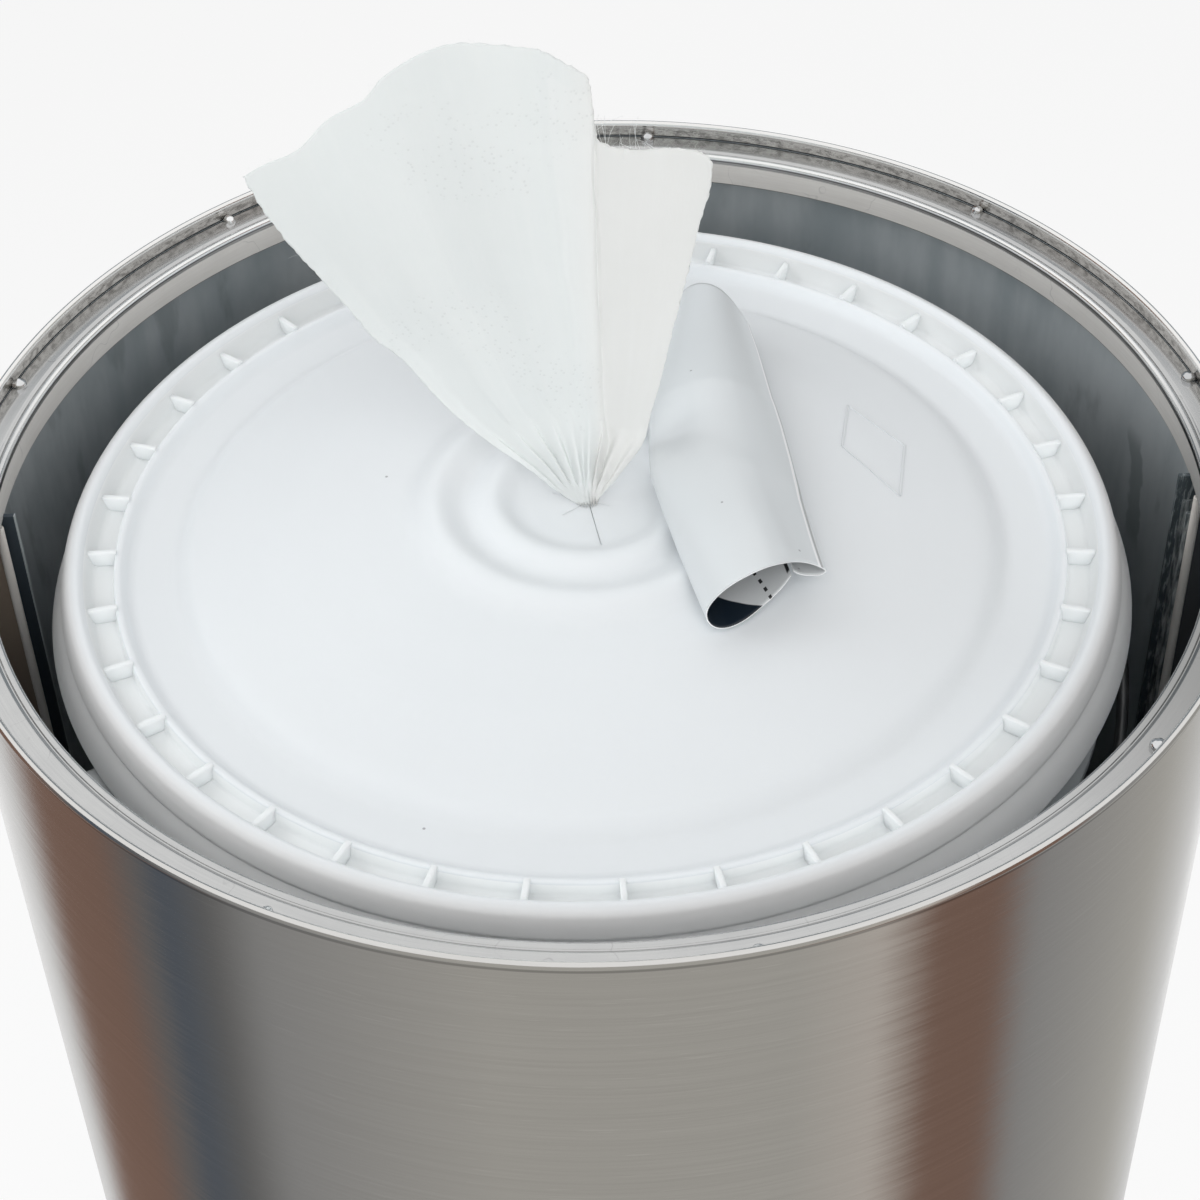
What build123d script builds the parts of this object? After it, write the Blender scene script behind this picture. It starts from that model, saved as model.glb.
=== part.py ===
from build123d import *
import math
import os

os.makedirs("parts", exist_ok=True)

# A floor stand for gym and clinic wipes. A brushed steel cylinder holds a white pail of
# wipes at the top and a waste bin below. The origin is the middle of the floor ring, Z is
# up and the user stands at -Y. All sizes are in millimetres.

# Steel cylinder
stand_height = 965.0      # floor to the top of the rolled rim
shell_radius = 177.6      # outside of the cylinder
sheet = 1.4               # steel sheet of the cylinder and the door
rim_bead_radius = 1.1     # rolled edge at the very top
weld_gap = 0.1            # steel parts that are welded together lie this close
fold_gap = 0.3            # soft or curved neighbours lie this close

# Floor ring and base pan
floor_ring_foot = 4.0     # rubber under the steel edge
floor_ring_outer_leg = 14.0
floor_ring_inner_leg = 10.0
floor_ring_wall = 1.6
base_sheet = 2.0
base_rim_height = 24.0

# Rear door and its seams
plinth_top = 40.0         # the cylinder is whole below this
collar_depth = 13.0       # and whole again this far below the rim
door_gap = 1.5            # above and below the door
hinge_seam_half = 3.2     # half of the seam that the hinge fills
latch_seam_half = 1.0     # half of the seam at the lock
shell_flange_width = 9.2  # the fixed flanges reach this far in from the wall
door_flange_width = 13.2  # and the door's flanges this far
hem_radius = 1.3          # folded edge along each fixed flange
door_return = 8.0         # folded edge along the door's top and bottom
lip_clearance = 0.5       # the side flanges end this far below the ring's lip

# Top ring: flat ledge and lip inside the rim
ledge_drop = 5.3          # below the top of the rim
ledge_width = 10.0
lip_drop = 15.2
ring_sheet = 1.2
ledge_corner = 2.0
weld_bead = 1.9
weld_angles = (11.8, 45.7, 83.4, 130.7, 163.6, 203.0, 243.0, 281.0, 320.6)

# Waste opening in the front
waste_width = 226.0
waste_height = 124.0
waste_corner = 34.0
waste_drop = 104.0        # its middle is this far below the shelf
edging_cover = 7.0        # how far the rubber edging covers the steel
edging_wall = 2.0

# Waste bin
bin_drop = 84.0           # its rim is this far below the middle of the waste opening
bin_room = 27.2           # between its rim and the cylinder's wall
bin_taper = 11.0
bin_wall = 2.2
bin_rim_radius = 2.6
grip_hole_width = 84.0
grip_hole_height = 26.0
grip_hole_drop = 42.0

# Shelf tray and its brackets
tray_sheet = 1.2
tray_well_room = 4.5      # between the pail's foot and the well
tray_well_depth = 10.0
tray_room = 16.2          # between the tray's rim and the cylinder's wall
tray_rim_height = 12.0
bracket_angles = (200.0, 245.0, 295.0, 340.0)
bracket_width = 30.0
bracket_sheet = 3.0
bracket_drop = 36.0
bracket_reach = 28.0
bolt_radius = 2.5
bolt_clearance = 0.2
bolt_head_radius = 4.7
bolt_head_height = 2.6
nut_height = 4.0

# Piano hinge
knuckle_radius = 2.8
hinge_pin_radius = 1.5
pin_clearance = 0.05
knuckle_count = 12
knuckle_gap = 0.5
leaf_sheet = 1.2
leaf_set_in = 11.2        # the leaves end this far in from the wall
hinge_end_gap = 8.0
rivet_pitch = 170.0
rivet_head_radius = 2.4
rivet_set_in = 5.2        # from the flange's edge to the middle of a rivet
rivet_head_height = 1.1
rivet_shank_radius = 1.6

# Lock with a hook cam
lock_drop = 70.0          # below the shelf
lock_setback = 14.0       # from the seam
lock_head_radius = 11.0
lock_head_height = 2.2
lock_seat = 0.2           # the head starts this far over the door's curved face
lock_barrel_radius = 8.0
lock_barrel_depth = 6.0
lock_nut_depth = 4.6
lock_nut_radius = 10.8
plug_radius = 5.4
plug_clearance = 0.08
key_slot_width = 1.3
key_slot_height = 7.0
cam_sheet = 2.0
hook_inner_radius = 17.5
hook_outer_radius = 22.5
hook_start = 62.0         # degrees above the forward direction, unlocked
hook_end = 112.0
hook_arm_angle = 100.0
shell_notch_low = 4.0     # the hook's notches start this far over the lock's middle
door_notch_low = 1.5
notch_clearance = 0.5
cam_screw_radius = 3.6
cam_screw_height = 2.0

# Wipes pail
pail_offset = -2.5        # the pail stands this far off the middle
pail_height = 270.0
pail_room = 30.2          # between its rim and the cylinder's wall
pail_taper = 14.2
pail_wall = 2.0
pail_rim_roll = 1.8       # the rim stands this far out from the wall
pail_rim_height = 7.0
pail_foot = 4.0
pail_band_drop = 36.0
pail_band_height = 5.0
pail_band_roll = 3.4
ear_angle = 30.0
ear_drop = 24.0
ear_radius = 8.5
ear_length = 10.0         # the ears stand this far out from the rim

# Bail of the pail
bail_room = 5.0           # between the ears and the bent wire
bail_wire = 1.8
bail_bend = 4.5
bail_clearance = 0.08
bail_pin_depth = 9.0
bail_grip_radius = 7.5
bail_grip_angle = 16.0

# Press-on lid. Heights count from the crest of its outer rim.
lid_crest_drop = 19.5     # below the rim of the stand
lid_seat = 5.5            # the crest stands this far over the pail's rim
lid_wall = 1.6
skirt_flare = 4.1         # out from the parting line
skirt_drop = 17.5
parting_reach = 2.0       # out from the pail's rim
parting_drop = 7.2
crest_set_in = 5.2        # in from the parting line
pocket_set_in = 2.7       # in from the crest
pocket_edge_drop = 1.5
pocket_width = 7.1
pocket_inner_drop = 3.7
pocket_depth = 9.5
pocket_wall = 1.6
rib_count = 36
rib_wall = 1.2
rib_drop = 2.6
gutter_bank = 4.1         # slope between the channel and the gutter
gutter_width = 11.9
gutter_drop = 6.8
step_width = 5.5
step_drop = 3.0
crown_radius = 50.0
crown_rise = 6.0
wave_rise = 9.0
wave_dip = 7.0
wave_outer_radius = 41.0
wave_middle_radius = 34.0
wave_inner_radius = 27.0
wave_foot_radius = 19.0
valve_rise = 5.0
valve_radius = 4.2
slit_length = 15.0
slit_width = 0.5
slit_count = 6
slit_turn = 97.0
gasket_width = 2.6

# Roll of wipes and the sheet that is pulled through the lid
roll_room = 12.0          # between the roll and the pail's foot
roll_room_above = 70.0    # the pail is this much higher than a full roll
roll_core_radius = 32.0
neck_radius = 3.6
neck_depth = 120.0
sheet_thickness = 2.0
sheet_start_drop = 14.0   # the fan starts this far below the rim
sheet_reach = 60.0        # more than the fan's depth, front and back

# Curled seal label lying on the lid
label_film = 0.5
label_width = 36.0        # across the curled tube
label_rise = 11.0         # of its upper curve over its two folds
label_sag = 6.0           # of its lower curve under them
label_length = 152.0
label_near = (43.5, -52.0)  # middle of its near end
label_turn = 4.0          # its axis points this far left of +Y
label_mouth = (27.0, -50.0)  # left corner of the slanted mouth
label_mouth_turn = 28.0
label_edge_gap = 9.0      # between its two free edges

# Worked out from the sizes above
shell_inner = shell_radius - sheet
shell_flange_edge = shell_inner - shell_flange_width
door_flange_edge = shell_inner - door_flange_width
leaf_edge = shell_inner - leaf_set_in
ledge_inner_radius = shell_inner - ledge_width
tray_radius = shell_inner - tray_room
bin_top_radius = shell_inner - bin_room
bin_base_radius = bin_top_radius - bin_taper
pail_rim_radius = shell_inner - pail_room
pail_top_radius = pail_rim_radius - pail_rim_roll
pail_base_radius = pail_top_radius - pail_taper
pail_band_radius = pail_top_radius + pail_band_roll
ear_reach = pail_rim_radius + ear_length
bail_radius = ear_reach + bail_room
tray_well_radius = pail_base_radius + tray_well_room
roll_radius = pail_base_radius - roll_room
roll_height = pail_height - roll_room_above
parting_radius = pail_rim_radius + parting_reach
skirt_radius = parting_radius + skirt_flare
crest_radius = parting_radius - crest_set_in
pocket_outer_radius = crest_radius - pocket_set_in
pocket_inner_radius = pocket_outer_radius - pocket_width
gutter_radius = pocket_inner_radius - gutter_bank
step_outer_radius = gutter_radius - gutter_width
step_inner_radius = step_outer_radius - step_width
rim_top = stand_height - rim_bead_radius
collar_bottom = stand_height - collar_depth
door_bottom = plinth_top + door_gap
door_top = collar_bottom - door_gap
hinge_x = shell_radius - sheet / 2
ledge_top = stand_height - ledge_drop
base_top = floor_ring_inner_leg + base_sheet
flange_top = stand_height - lip_drop - lip_clearance
lid_crest = stand_height - lid_crest_drop
pail_rim_top = lid_crest - lid_seat
shelf_height = pail_rim_top - pail_height
tray_flange_top = shelf_height + tray_well_depth
waste_centre = shelf_height - waste_drop
bin_top = waste_centre - bin_drop
lock_height = shelf_height - lock_drop
ear_height = pail_rim_top - ear_drop
pail_middle = Location((pail_offset, 0, 0))


def tube(outer, inner, low, high):
    """A round tube standing on the Z axis."""
    ring = Circle(outer) - Circle(inner)
    return extrude(Plane.XY.offset(low) * ring, high - low)


def upright_box(x_low, x_high, y_low, y_high, z_low, z_high):
    """A box given by its two corners."""
    size = (x_high - x_low, y_high - y_low, z_high - z_low)
    middle = ((x_low + x_high) / 2, (y_low + y_high) / 2, (z_low + z_high) / 2)
    return Pos(*middle) * Box(*size)


def spun(*edges):
    """Turn a closed outline, drawn as radius and height, about the Z axis."""
    return revolve(Plane.XZ * make_face(Curve() + list(edges)), Axis.Z, 360)


def spun_points(points):
    """Turn an outline with straight sides, given by its corners, about the Z axis."""
    return spun(Polyline(*points, close=True))


def rolled_edge(middle, height, radius, sides=8):
    """A rolled rim, drawn with flats, as a ring round the Z axis."""
    turns = [2 * math.pi * index / sides for index in range(sides)]
    return spun_points([(middle + radius * math.cos(a), height + radius * math.sin(a))
                        for a in turns])


def around(radius, angle, height):
    """A place at a radius, facing outwards, at an angle from +X."""
    return Rot(0, 0, angle) * Pos(radius, 0, height)


def save(part, name):
    part.label = name
    export_step(part, f"parts/{name}.step")


def group(parts):
    return Compound(children=list(parts))


def outer_shell():
    """The cylinder: whole at the rim and the plinth, open at the back for the door."""
    wall = tube(shell_radius, shell_inner, floor_ring_foot, rim_top)
    bead = rolled_edge(hinge_x, rim_top, rim_bead_radius)
    reach = shell_radius + sheet
    doorway = upright_box(-reach, reach, -latch_seam_half, reach, plinth_top, collar_bottom)
    hinge_relief = upright_box(0, reach, -hinge_seam_half, reach, plinth_top, collar_bottom)
    shell = wall - doorway - hinge_relief + bead
    for side, seam in ((1, hinge_seam_half), (-1, latch_seam_half)):
        bent = upright_box(shell_flange_edge, hinge_x, -seam - sheet, -seam,
                           plinth_top, flange_top)
        hem_height = flange_top - plinth_top
        hem_place = Pos(shell_flange_edge, -seam - hem_radius, plinth_top + hem_height / 2)
        flange = bent + hem_place * Cylinder(hem_radius, hem_height)
        shell += flange if side > 0 else mirror(flange, Plane.YZ)
    shell -= hook_window(-latch_seam_half - 2 * hem_radius - 1, 0, shell_notch_low)
    return shell - waste_cut(0)


def waste_cut(margin):
    """The waste opening's outline, pushed through the front wall."""
    outline = RectangleRounded(waste_width + 2 * margin, waste_height + 2 * margin,
                               waste_corner + margin)
    start = Plane((0, 0, waste_centre), x_dir=(1, 0, 0), z_dir=(0, -1, 0))
    return extrude(start * outline, shell_radius + 4 * edging_wall)


def waste_edging():
    """A rubber channel pressed over the edge of the waste opening."""
    channel = tube(shell_radius + edging_wall, shell_inner - edging_wall,
                   waste_centre - waste_height, waste_centre + waste_height)
    band = channel & (waste_cut(edging_cover) - waste_cut(-edging_wall))
    gripped = tube(shell_radius + weld_gap, shell_inner - weld_gap,
                   waste_centre - waste_height, waste_centre + waste_height)
    return band - (gripped - waste_cut(-weld_gap))


def hook_window(y_low, y_high, lower_edge):
    """The notch that the hook cam passes through in a flange beside the lock."""
    return upright_box(-shell_inner + 2.2, -door_flange_edge + 10, y_low, y_high,
                       lock_height + lower_edge,
                       lock_height + hook_outer_radius + notch_clearance)


def top_ring():
    """The flat ledge inside the rim and the lip that hangs from its inner edge."""
    outer = shell_inner - weld_gap
    inner = ledge_inner_radius
    bend = inner + ledge_corner
    under = ledge_top - ring_sheet
    bottom = stand_height - lip_drop
    bend_top = ledge_top - ledge_corner
    flat = ledge_corner * (1 - math.sqrt(0.5))
    return spun_points([
        (bend, ledge_top), (outer, ledge_top), (outer, under), (bend, under),
        (inner + ring_sheet, bend_top), (inner + ring_sheet, bottom), (inner, bottom),
        (inner, bend_top), (inner + flat, ledge_top - flat)])


def tack_welds():
    """Small weld beads in the corner between the ledge and the wall."""
    bead = extrude(RegularPolygon(weld_bead, 6), weld_bead, taper=30)
    return [around(shell_inner - weld_gap - weld_bead, angle, ledge_top) * bead
            for angle in weld_angles]


def floor_ring():
    """A rubber channel under the cylinder's edge."""
    outer = shell_radius + weld_gap
    inner = shell_inner - weld_gap
    return spun_points([
        (outer + floor_ring_wall, 0), (outer + floor_ring_wall, floor_ring_outer_leg),
        (outer, floor_ring_outer_leg), (outer, floor_ring_foot), (inner, floor_ring_foot),
        (inner, floor_ring_inner_leg), (inner - 2 * floor_ring_wall, floor_ring_inner_leg),
        (inner - 2 * floor_ring_wall, 0)])


def base_pan():
    """The floor of the bin room, with an upturned rim welded to the cylinder."""
    outer = shell_inner - weld_gap
    low = floor_ring_inner_leg
    top = low + base_rim_height
    return spun_points([(0, low), (outer, low), (outer, top), (outer - base_sheet, top),
                        (outer - base_sheet, base_top), (0, base_top)])


def waste_bin():
    """The tapered liner that catches the waste, with a rolled rim and two hand holes."""
    corner = 8.0
    inner_base = bin_base_radius - bin_wall
    inner_top = bin_top_radius - bin_wall
    rim = bin_top - bin_rim_radius
    body = spun_points([
        (0, base_top), (bin_base_radius - corner, base_top),
        (bin_base_radius, base_top + corner), (bin_top_radius, rim), (inner_top, rim),
        (inner_base, base_top + corner), (inner_base - corner + bin_wall, base_top + bin_wall),
        (0, base_top + bin_wall)])
    body += rolled_edge(bin_top_radius, rim, bin_rim_radius)
    hole = SlotOverall(grip_hole_width, grip_hole_height)
    place = Plane((0, bin_top_radius + 10, bin_top - grip_hole_drop), x_dir=(1, 0, 0),
                  z_dir=(0, -1, 0))
    return body - extrude(place * hole, 2 * bin_top_radius + 20)


def shelf_tray():
    """The spun tray that the pail stands in."""
    well = tray_well_radius
    low = shelf_height - tray_sheet
    top = tray_flange_top
    rim = top + tray_rim_height
    return spun_points([
        (0, low), (well + tray_sheet, low), (well + tray_sheet, top - tray_sheet),
        (tray_radius, top - tray_sheet), (tray_radius, rim), (tray_radius - tray_sheet, rim),
        (tray_radius - tray_sheet, top), (well, top), (well, shelf_height), (0, shelf_height)]
        ) - [around(bolt_circle(), angle, top) * Cylinder(bolt_radius + bolt_clearance, 10)
             for angle in bracket_angles]


def bolt_circle():
    """The shelf bolts stand midway between the well and the tray's rim."""
    return (tray_well_radius + tray_radius) / 2


def bracket(angle):
    """An angle bracket welded inside the wall, with its foot under the tray."""
    top = tray_flange_top - tray_sheet
    wall_face = shell_inner - weld_gap
    inner = wall_face - bracket_reach - bracket_sheet
    half = bracket_width / 2
    leg = upright_box(wall_face - bracket_sheet - 1, shell_inner, -half, half,
                      top - bracket_drop, top)
    foot = upright_box(inner, shell_inner, -half, half, top - bracket_sheet, top)
    hole = Pos(bolt_circle(), 0, top) * Cylinder(bolt_radius + bolt_clearance, 20)
    return Rot(0, 0, angle) * ((leg + foot - hole) & Pos(0, 0, top) * Cylinder(wall_face, 4 * bracket_drop))


def shelf_bolt(angle):
    """A pan head bolt through the tray and the bracket's foot."""
    under = tray_flange_top - tray_sheet - bracket_sheet
    shank = Pos(0, 0, (tray_flange_top + under - nut_height - 2) / 2) * Cylinder(
        bolt_radius, tray_flange_top - under + nut_height + 2)
    head = Pos(0, 0, tray_flange_top + bolt_head_height / 2) * Cylinder(
        bolt_head_radius, bolt_head_height)
    head = chamfer(head.edges().group_by(Axis.Z)[-1], bolt_head_height / 3)
    return around(bolt_circle(), angle, 0) * (shank + head)


def shelf_nut(angle):
    """A hexagon nut under the bracket's foot."""
    top = tray_flange_top - tray_sheet - bracket_sheet
    hexagon = RegularPolygon(1.8 * bolt_radius, 6) - Circle(bolt_radius + weld_gap)
    nut = extrude(hexagon, nut_height)
    return around(bolt_circle(), angle, top - nut_height) * nut


def hinge_span(index):
    """The heights between which one knuckle of the piano hinge lies."""
    low = door_bottom + hinge_end_gap
    pitch = (door_top - hinge_end_gap - low) / knuckle_count
    return low + index * pitch, low + (index + 1) * pitch - knuckle_gap


def hinge_leaf(side):
    """One leaf: a long strip with every second knuckle rolled from it."""
    low = hinge_span(0)[0]
    high = hinge_span(knuckle_count - 1)[1]
    seam = hinge_seam_half
    strip_edge = hinge_x - seam
    leaf = upright_box(leaf_edge, strip_edge, -seam, -seam + leaf_sheet, low, high)
    first = 0 if side < 0 else 1
    for index in range(first, knuckle_count, 2):
        bottom, top = hinge_span(index)
        leaf += upright_box(strip_edge - 1, hinge_x, -seam, -seam + leaf_sheet, bottom, top)
        leaf += Pos(hinge_x, 0, (bottom + top) / 2) * Cylinder(knuckle_radius, top - bottom)
    bore = Pos(hinge_x, 0, (low + high) / 2) * Cylinder(
        hinge_pin_radius + pin_clearance, 2 * (high - low))
    leaf -= bore
    return leaf if side < 0 else mirror(leaf, Plane.XZ)


def hinge_pin():
    """The wire that the knuckles turn on, with its ends peened flush."""
    low = hinge_span(0)[0] - 1
    high = hinge_span(knuckle_count - 1)[1] + 1
    return Pos(hinge_x, 0, (low + high) / 2) * Cylinder(hinge_pin_radius, high - low)


def hinge_rivets(side):
    """Flush rivets that hold a leaf to its flange, with a low head on the flange."""
    middle = shell_flange_edge + rivet_set_in
    outer_face = hinge_seam_half + sheet
    inner_face = hinge_seam_half - leaf_sheet
    low, high = hinge_span(0)[0], hinge_span(knuckle_count - 1)[1]
    count = int((high - low) // rivet_pitch)
    first = (low + high - (count - 1) * rivet_pitch) / 2
    rivets = []
    for index in range(count):
        place = Pos(middle, 0, first + index * rivet_pitch) * Rot(90 * -side, 0, 0)
        shank = Pos(0, 0, (outer_face + inner_face) / 2) * Cylinder(
            rivet_shank_radius, outer_face - inner_face)
        head = Pos(0, 0, outer_face) * extrude(RegularPolygon(rivet_head_radius, 8),
                                               rivet_head_height)
        rivets.append(place * (shank + head))
    return rivets


def rivet_holes(side):
    """Round holes for the hinge rivets."""
    middle = shell_flange_edge + rivet_set_in
    return [Pos(middle, 0, rivet.center().Z) * Rot(90, 0, 0) * Pos(0, 0, -side * 4)
            * Cylinder(rivet_shank_radius + weld_gap, 7) for rivet in hinge_rivets(side)]


def rear_door():
    """The half cylinder at the back, folded inwards along all four edges."""
    reach = shell_radius + sheet
    back = upright_box(-reach, 0, latch_seam_half, reach, door_bottom, door_top)
    back += upright_box(0, reach, hinge_seam_half, reach, door_bottom, door_top)
    skin = tube(shell_radius, shell_inner, door_bottom, door_top)
    for edge in (door_bottom, door_top - sheet):
        skin += tube(shell_inner + 0.5, shell_inner - door_return, edge, edge + sheet)
    door = skin & back
    for side, seam in ((1, hinge_seam_half), (-1, latch_seam_half)):
        flange = upright_box(door_flange_edge, hinge_x, seam, seam + sheet,
                             door_bottom, flange_top)
        door += flange if side > 0 else mirror(flange, Plane.YZ)
    door -= hook_window(latch_seam_half - 1, latch_seam_half + sheet + 1, door_notch_low)
    return door - lock_place() * Cylinder(lock_barrel_radius + weld_gap, 6 * sheet)


def lock_place():
    """The middle of the lock on the door's outer face. Local Z points outwards."""
    tilt = math.degrees(math.asin(lock_setback / shell_radius))
    plane = Plane((0, 0, 0), x_dir=(0, -1, 0), z_dir=(-1, 0, 0))
    return Rot(0, 0, -tilt) * Pos(-shell_radius, 0, lock_height) * plane.location


def lock_barrel():
    """The lock's fixed barrel with its round head let into the door's face."""
    head = Pos(0, 0, (lock_head_height - lock_barrel_depth) / 2) * Cylinder(
        lock_head_radius, lock_head_height + lock_barrel_depth)
    head = chamfer(head.edges().group_by(Axis.Z)[-1], lock_head_height / 2)
    reach = 2 * lock_head_radius
    under = tube(reach, lock_barrel_radius, -reach, lock_seat)
    bore = Cylinder(plug_radius + plug_clearance, 2 * reach)
    return lock_place() * (head - under - bore)


def lock_nut():
    """The flat nut that clamps the barrel to the door."""
    hexagon = RegularPolygon(lock_nut_radius, 6) - Circle(lock_barrel_radius + weld_gap)
    return lock_place() * Pos(0, 0, -lock_nut_depth) * extrude(hexagon, lock_nut_depth - sheet - 1)


def lock_plug():
    """The part that the key turns, with a square tail for the cam."""
    top = lock_head_height
    low = -lock_barrel_depth - 0.2
    body = Pos(0, 0, (top + low) / 2) * Cylinder(plug_radius, top - low)
    slot = Pos(0, 0, top) * Box(key_slot_width, key_slot_height, 5)
    tail = Pos(0, 0, low - cam_sheet / 2) * Box(5, 5, cam_sheet)
    return lock_place() * (body + tail - slot)


def hook_cam():
    """The hook that swings through the notches and catches in front of the fixed flange."""
    start, end = math.radians(hook_start), math.radians(hook_end)
    arm_start = math.radians(hook_arm_angle)
    middle = (start + end) / 2

    def at(radius, angle):
        return (radius * math.cos(angle), radius * math.sin(angle))

    claw = make_face(Curve() + [
        ThreePointArc(at(hook_outer_radius, start), at(hook_outer_radius, middle),
                      at(hook_outer_radius, end)),
        Line(at(hook_outer_radius, end), at(hook_inner_radius, end)),
        ThreePointArc(at(hook_inner_radius, end), at(hook_inner_radius, middle),
                      at(hook_inner_radius, start)),
        Line(at(hook_inner_radius, start), at(hook_outer_radius, start))])
    arm = make_face(Polyline(at(3, arm_start - 1.2), at(hook_inner_radius + 1, arm_start),
                             at(hook_inner_radius + 1, end), at(3, end + 1.2), close=True))
    flat = claw + arm + Circle(6.5) - Rectangle(5.2, 5.2)
    low = -lock_barrel_depth - 0.2 - cam_sheet
    return lock_place() * Pos(0, 0, low) * extrude(flat, cam_sheet)


def cam_screw():
    """The screw that holds the cam on the plug's tail."""
    top = -lock_barrel_depth - 0.2 - cam_sheet
    head = Pos(0, 0, top - cam_screw_height / 2) * Cylinder(cam_screw_radius, cam_screw_height)
    head -= Pos(0, 0, top - cam_screw_height) * Box(2 * cam_screw_radius, 1, 1.4)
    return lock_place() * head


def pail_wall_radius(height):
    """Outside of the pail's tapered wall at a height above the shelf."""
    share = (height - shelf_height) / pail_height
    return pail_base_radius + share * (pail_top_radius - pail_base_radius)


def wipes_pail():
    """The white pail with a rolled rim, a stiffening band and two ear bosses."""
    base = shelf_height
    top = pail_rim_top
    band_top = top - pail_band_drop
    band_low = band_top - pail_band_height
    rim_low = top - pail_rim_height
    in_base = pail_wall_radius(base) - pail_wall
    in_top = pail_wall_radius(top) - pail_wall
    body = spun_points([
        (0, base + pail_foot / 2), (pail_base_radius - 8, base + pail_foot / 2),
        (pail_base_radius - 8, base), (pail_base_radius, base),
        (pail_wall_radius(band_low), band_low), (pail_band_radius, band_low),
        (pail_band_radius, band_top - 1.5), (pail_wall_radius(band_top), band_top),
        (pail_wall_radius(rim_low), rim_low), (pail_rim_radius, rim_low),
        (pail_rim_radius, top - 1.5), (pail_rim_radius - 1.5, top), (in_top, top),
        (in_base, base + pail_foot + pail_wall), (in_base - pail_foot, base + pail_foot),
        (0, base + pail_foot)])
    for turn in (ear_angle, ear_angle + 180):
        boss_start = pail_wall_radius(ear_height) - 1
        place = around(boss_start, turn, ear_height) * Rot(0, 90, 0)
        reach = ear_reach - boss_start
        body += place * Pos(0, 0, reach / 2) * Cylinder(ear_radius, reach)
        hole_depth = bail_pin_depth + 1
        body -= place * Pos(0, 0, reach - hole_depth / 2) * Cylinder(
            bail_wire + bail_clearance, hole_depth)
    return pail_middle * body


def bail_hang():
    """How far below level the bail hangs, in degrees, with its grip against the pail."""
    hang = 20.0
    for _ in range(8):
        grip_height = ear_height - bail_radius * math.sin(math.radians(hang))
        reach = pail_wall_radius(grip_height) + bail_grip_radius + fold_gap
        hang = math.degrees(math.acos(reach / bail_radius))
    return hang


def bail_place():
    """The bail's pivot line lies along local X and the bail hangs along local Y."""
    return pail_middle * Pos(0, 0, ear_height) * Rot(0, 0, ear_angle + 180) * Rot(-bail_hang(), 0, 0)


def bail():
    """The wire handle: a half circle whose ends turn in to the ear bosses."""
    start = ear_reach - bail_pin_depth
    arch = ThreePointArc((bail_radius, 0), (0, bail_radius), (-bail_radius, 0))
    route = Wire([Line((start, 0), (bail_radius, 0)), arch, Line((-bail_radius, 0), (-start, 0))])
    corners = [v for v in route.vertices() if abs(abs(v.X) - bail_radius) < 0.1]
    route = route.fillet_2d(bail_bend, corners)
    profile = Plane((start, 0, 0), z_dir=(1, 0, 0)) * Circle(bail_wire)
    return bail_place() * sweep(profile, route)


def bail_grip():
    """The plastic tube around the middle of the bail."""
    half = math.radians(bail_grip_angle)
    ends = [(bail_radius * math.sin(a), bail_radius * math.cos(a)) for a in (-half, 0, half)]
    route = ThreePointArc(*ends)
    start = Plane(route @ 0, z_dir=route % 0)
    ring = Circle(bail_grip_radius) - Circle(bail_wire + weld_gap)
    return bail_place() * sweep(start * ring, route)


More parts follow.
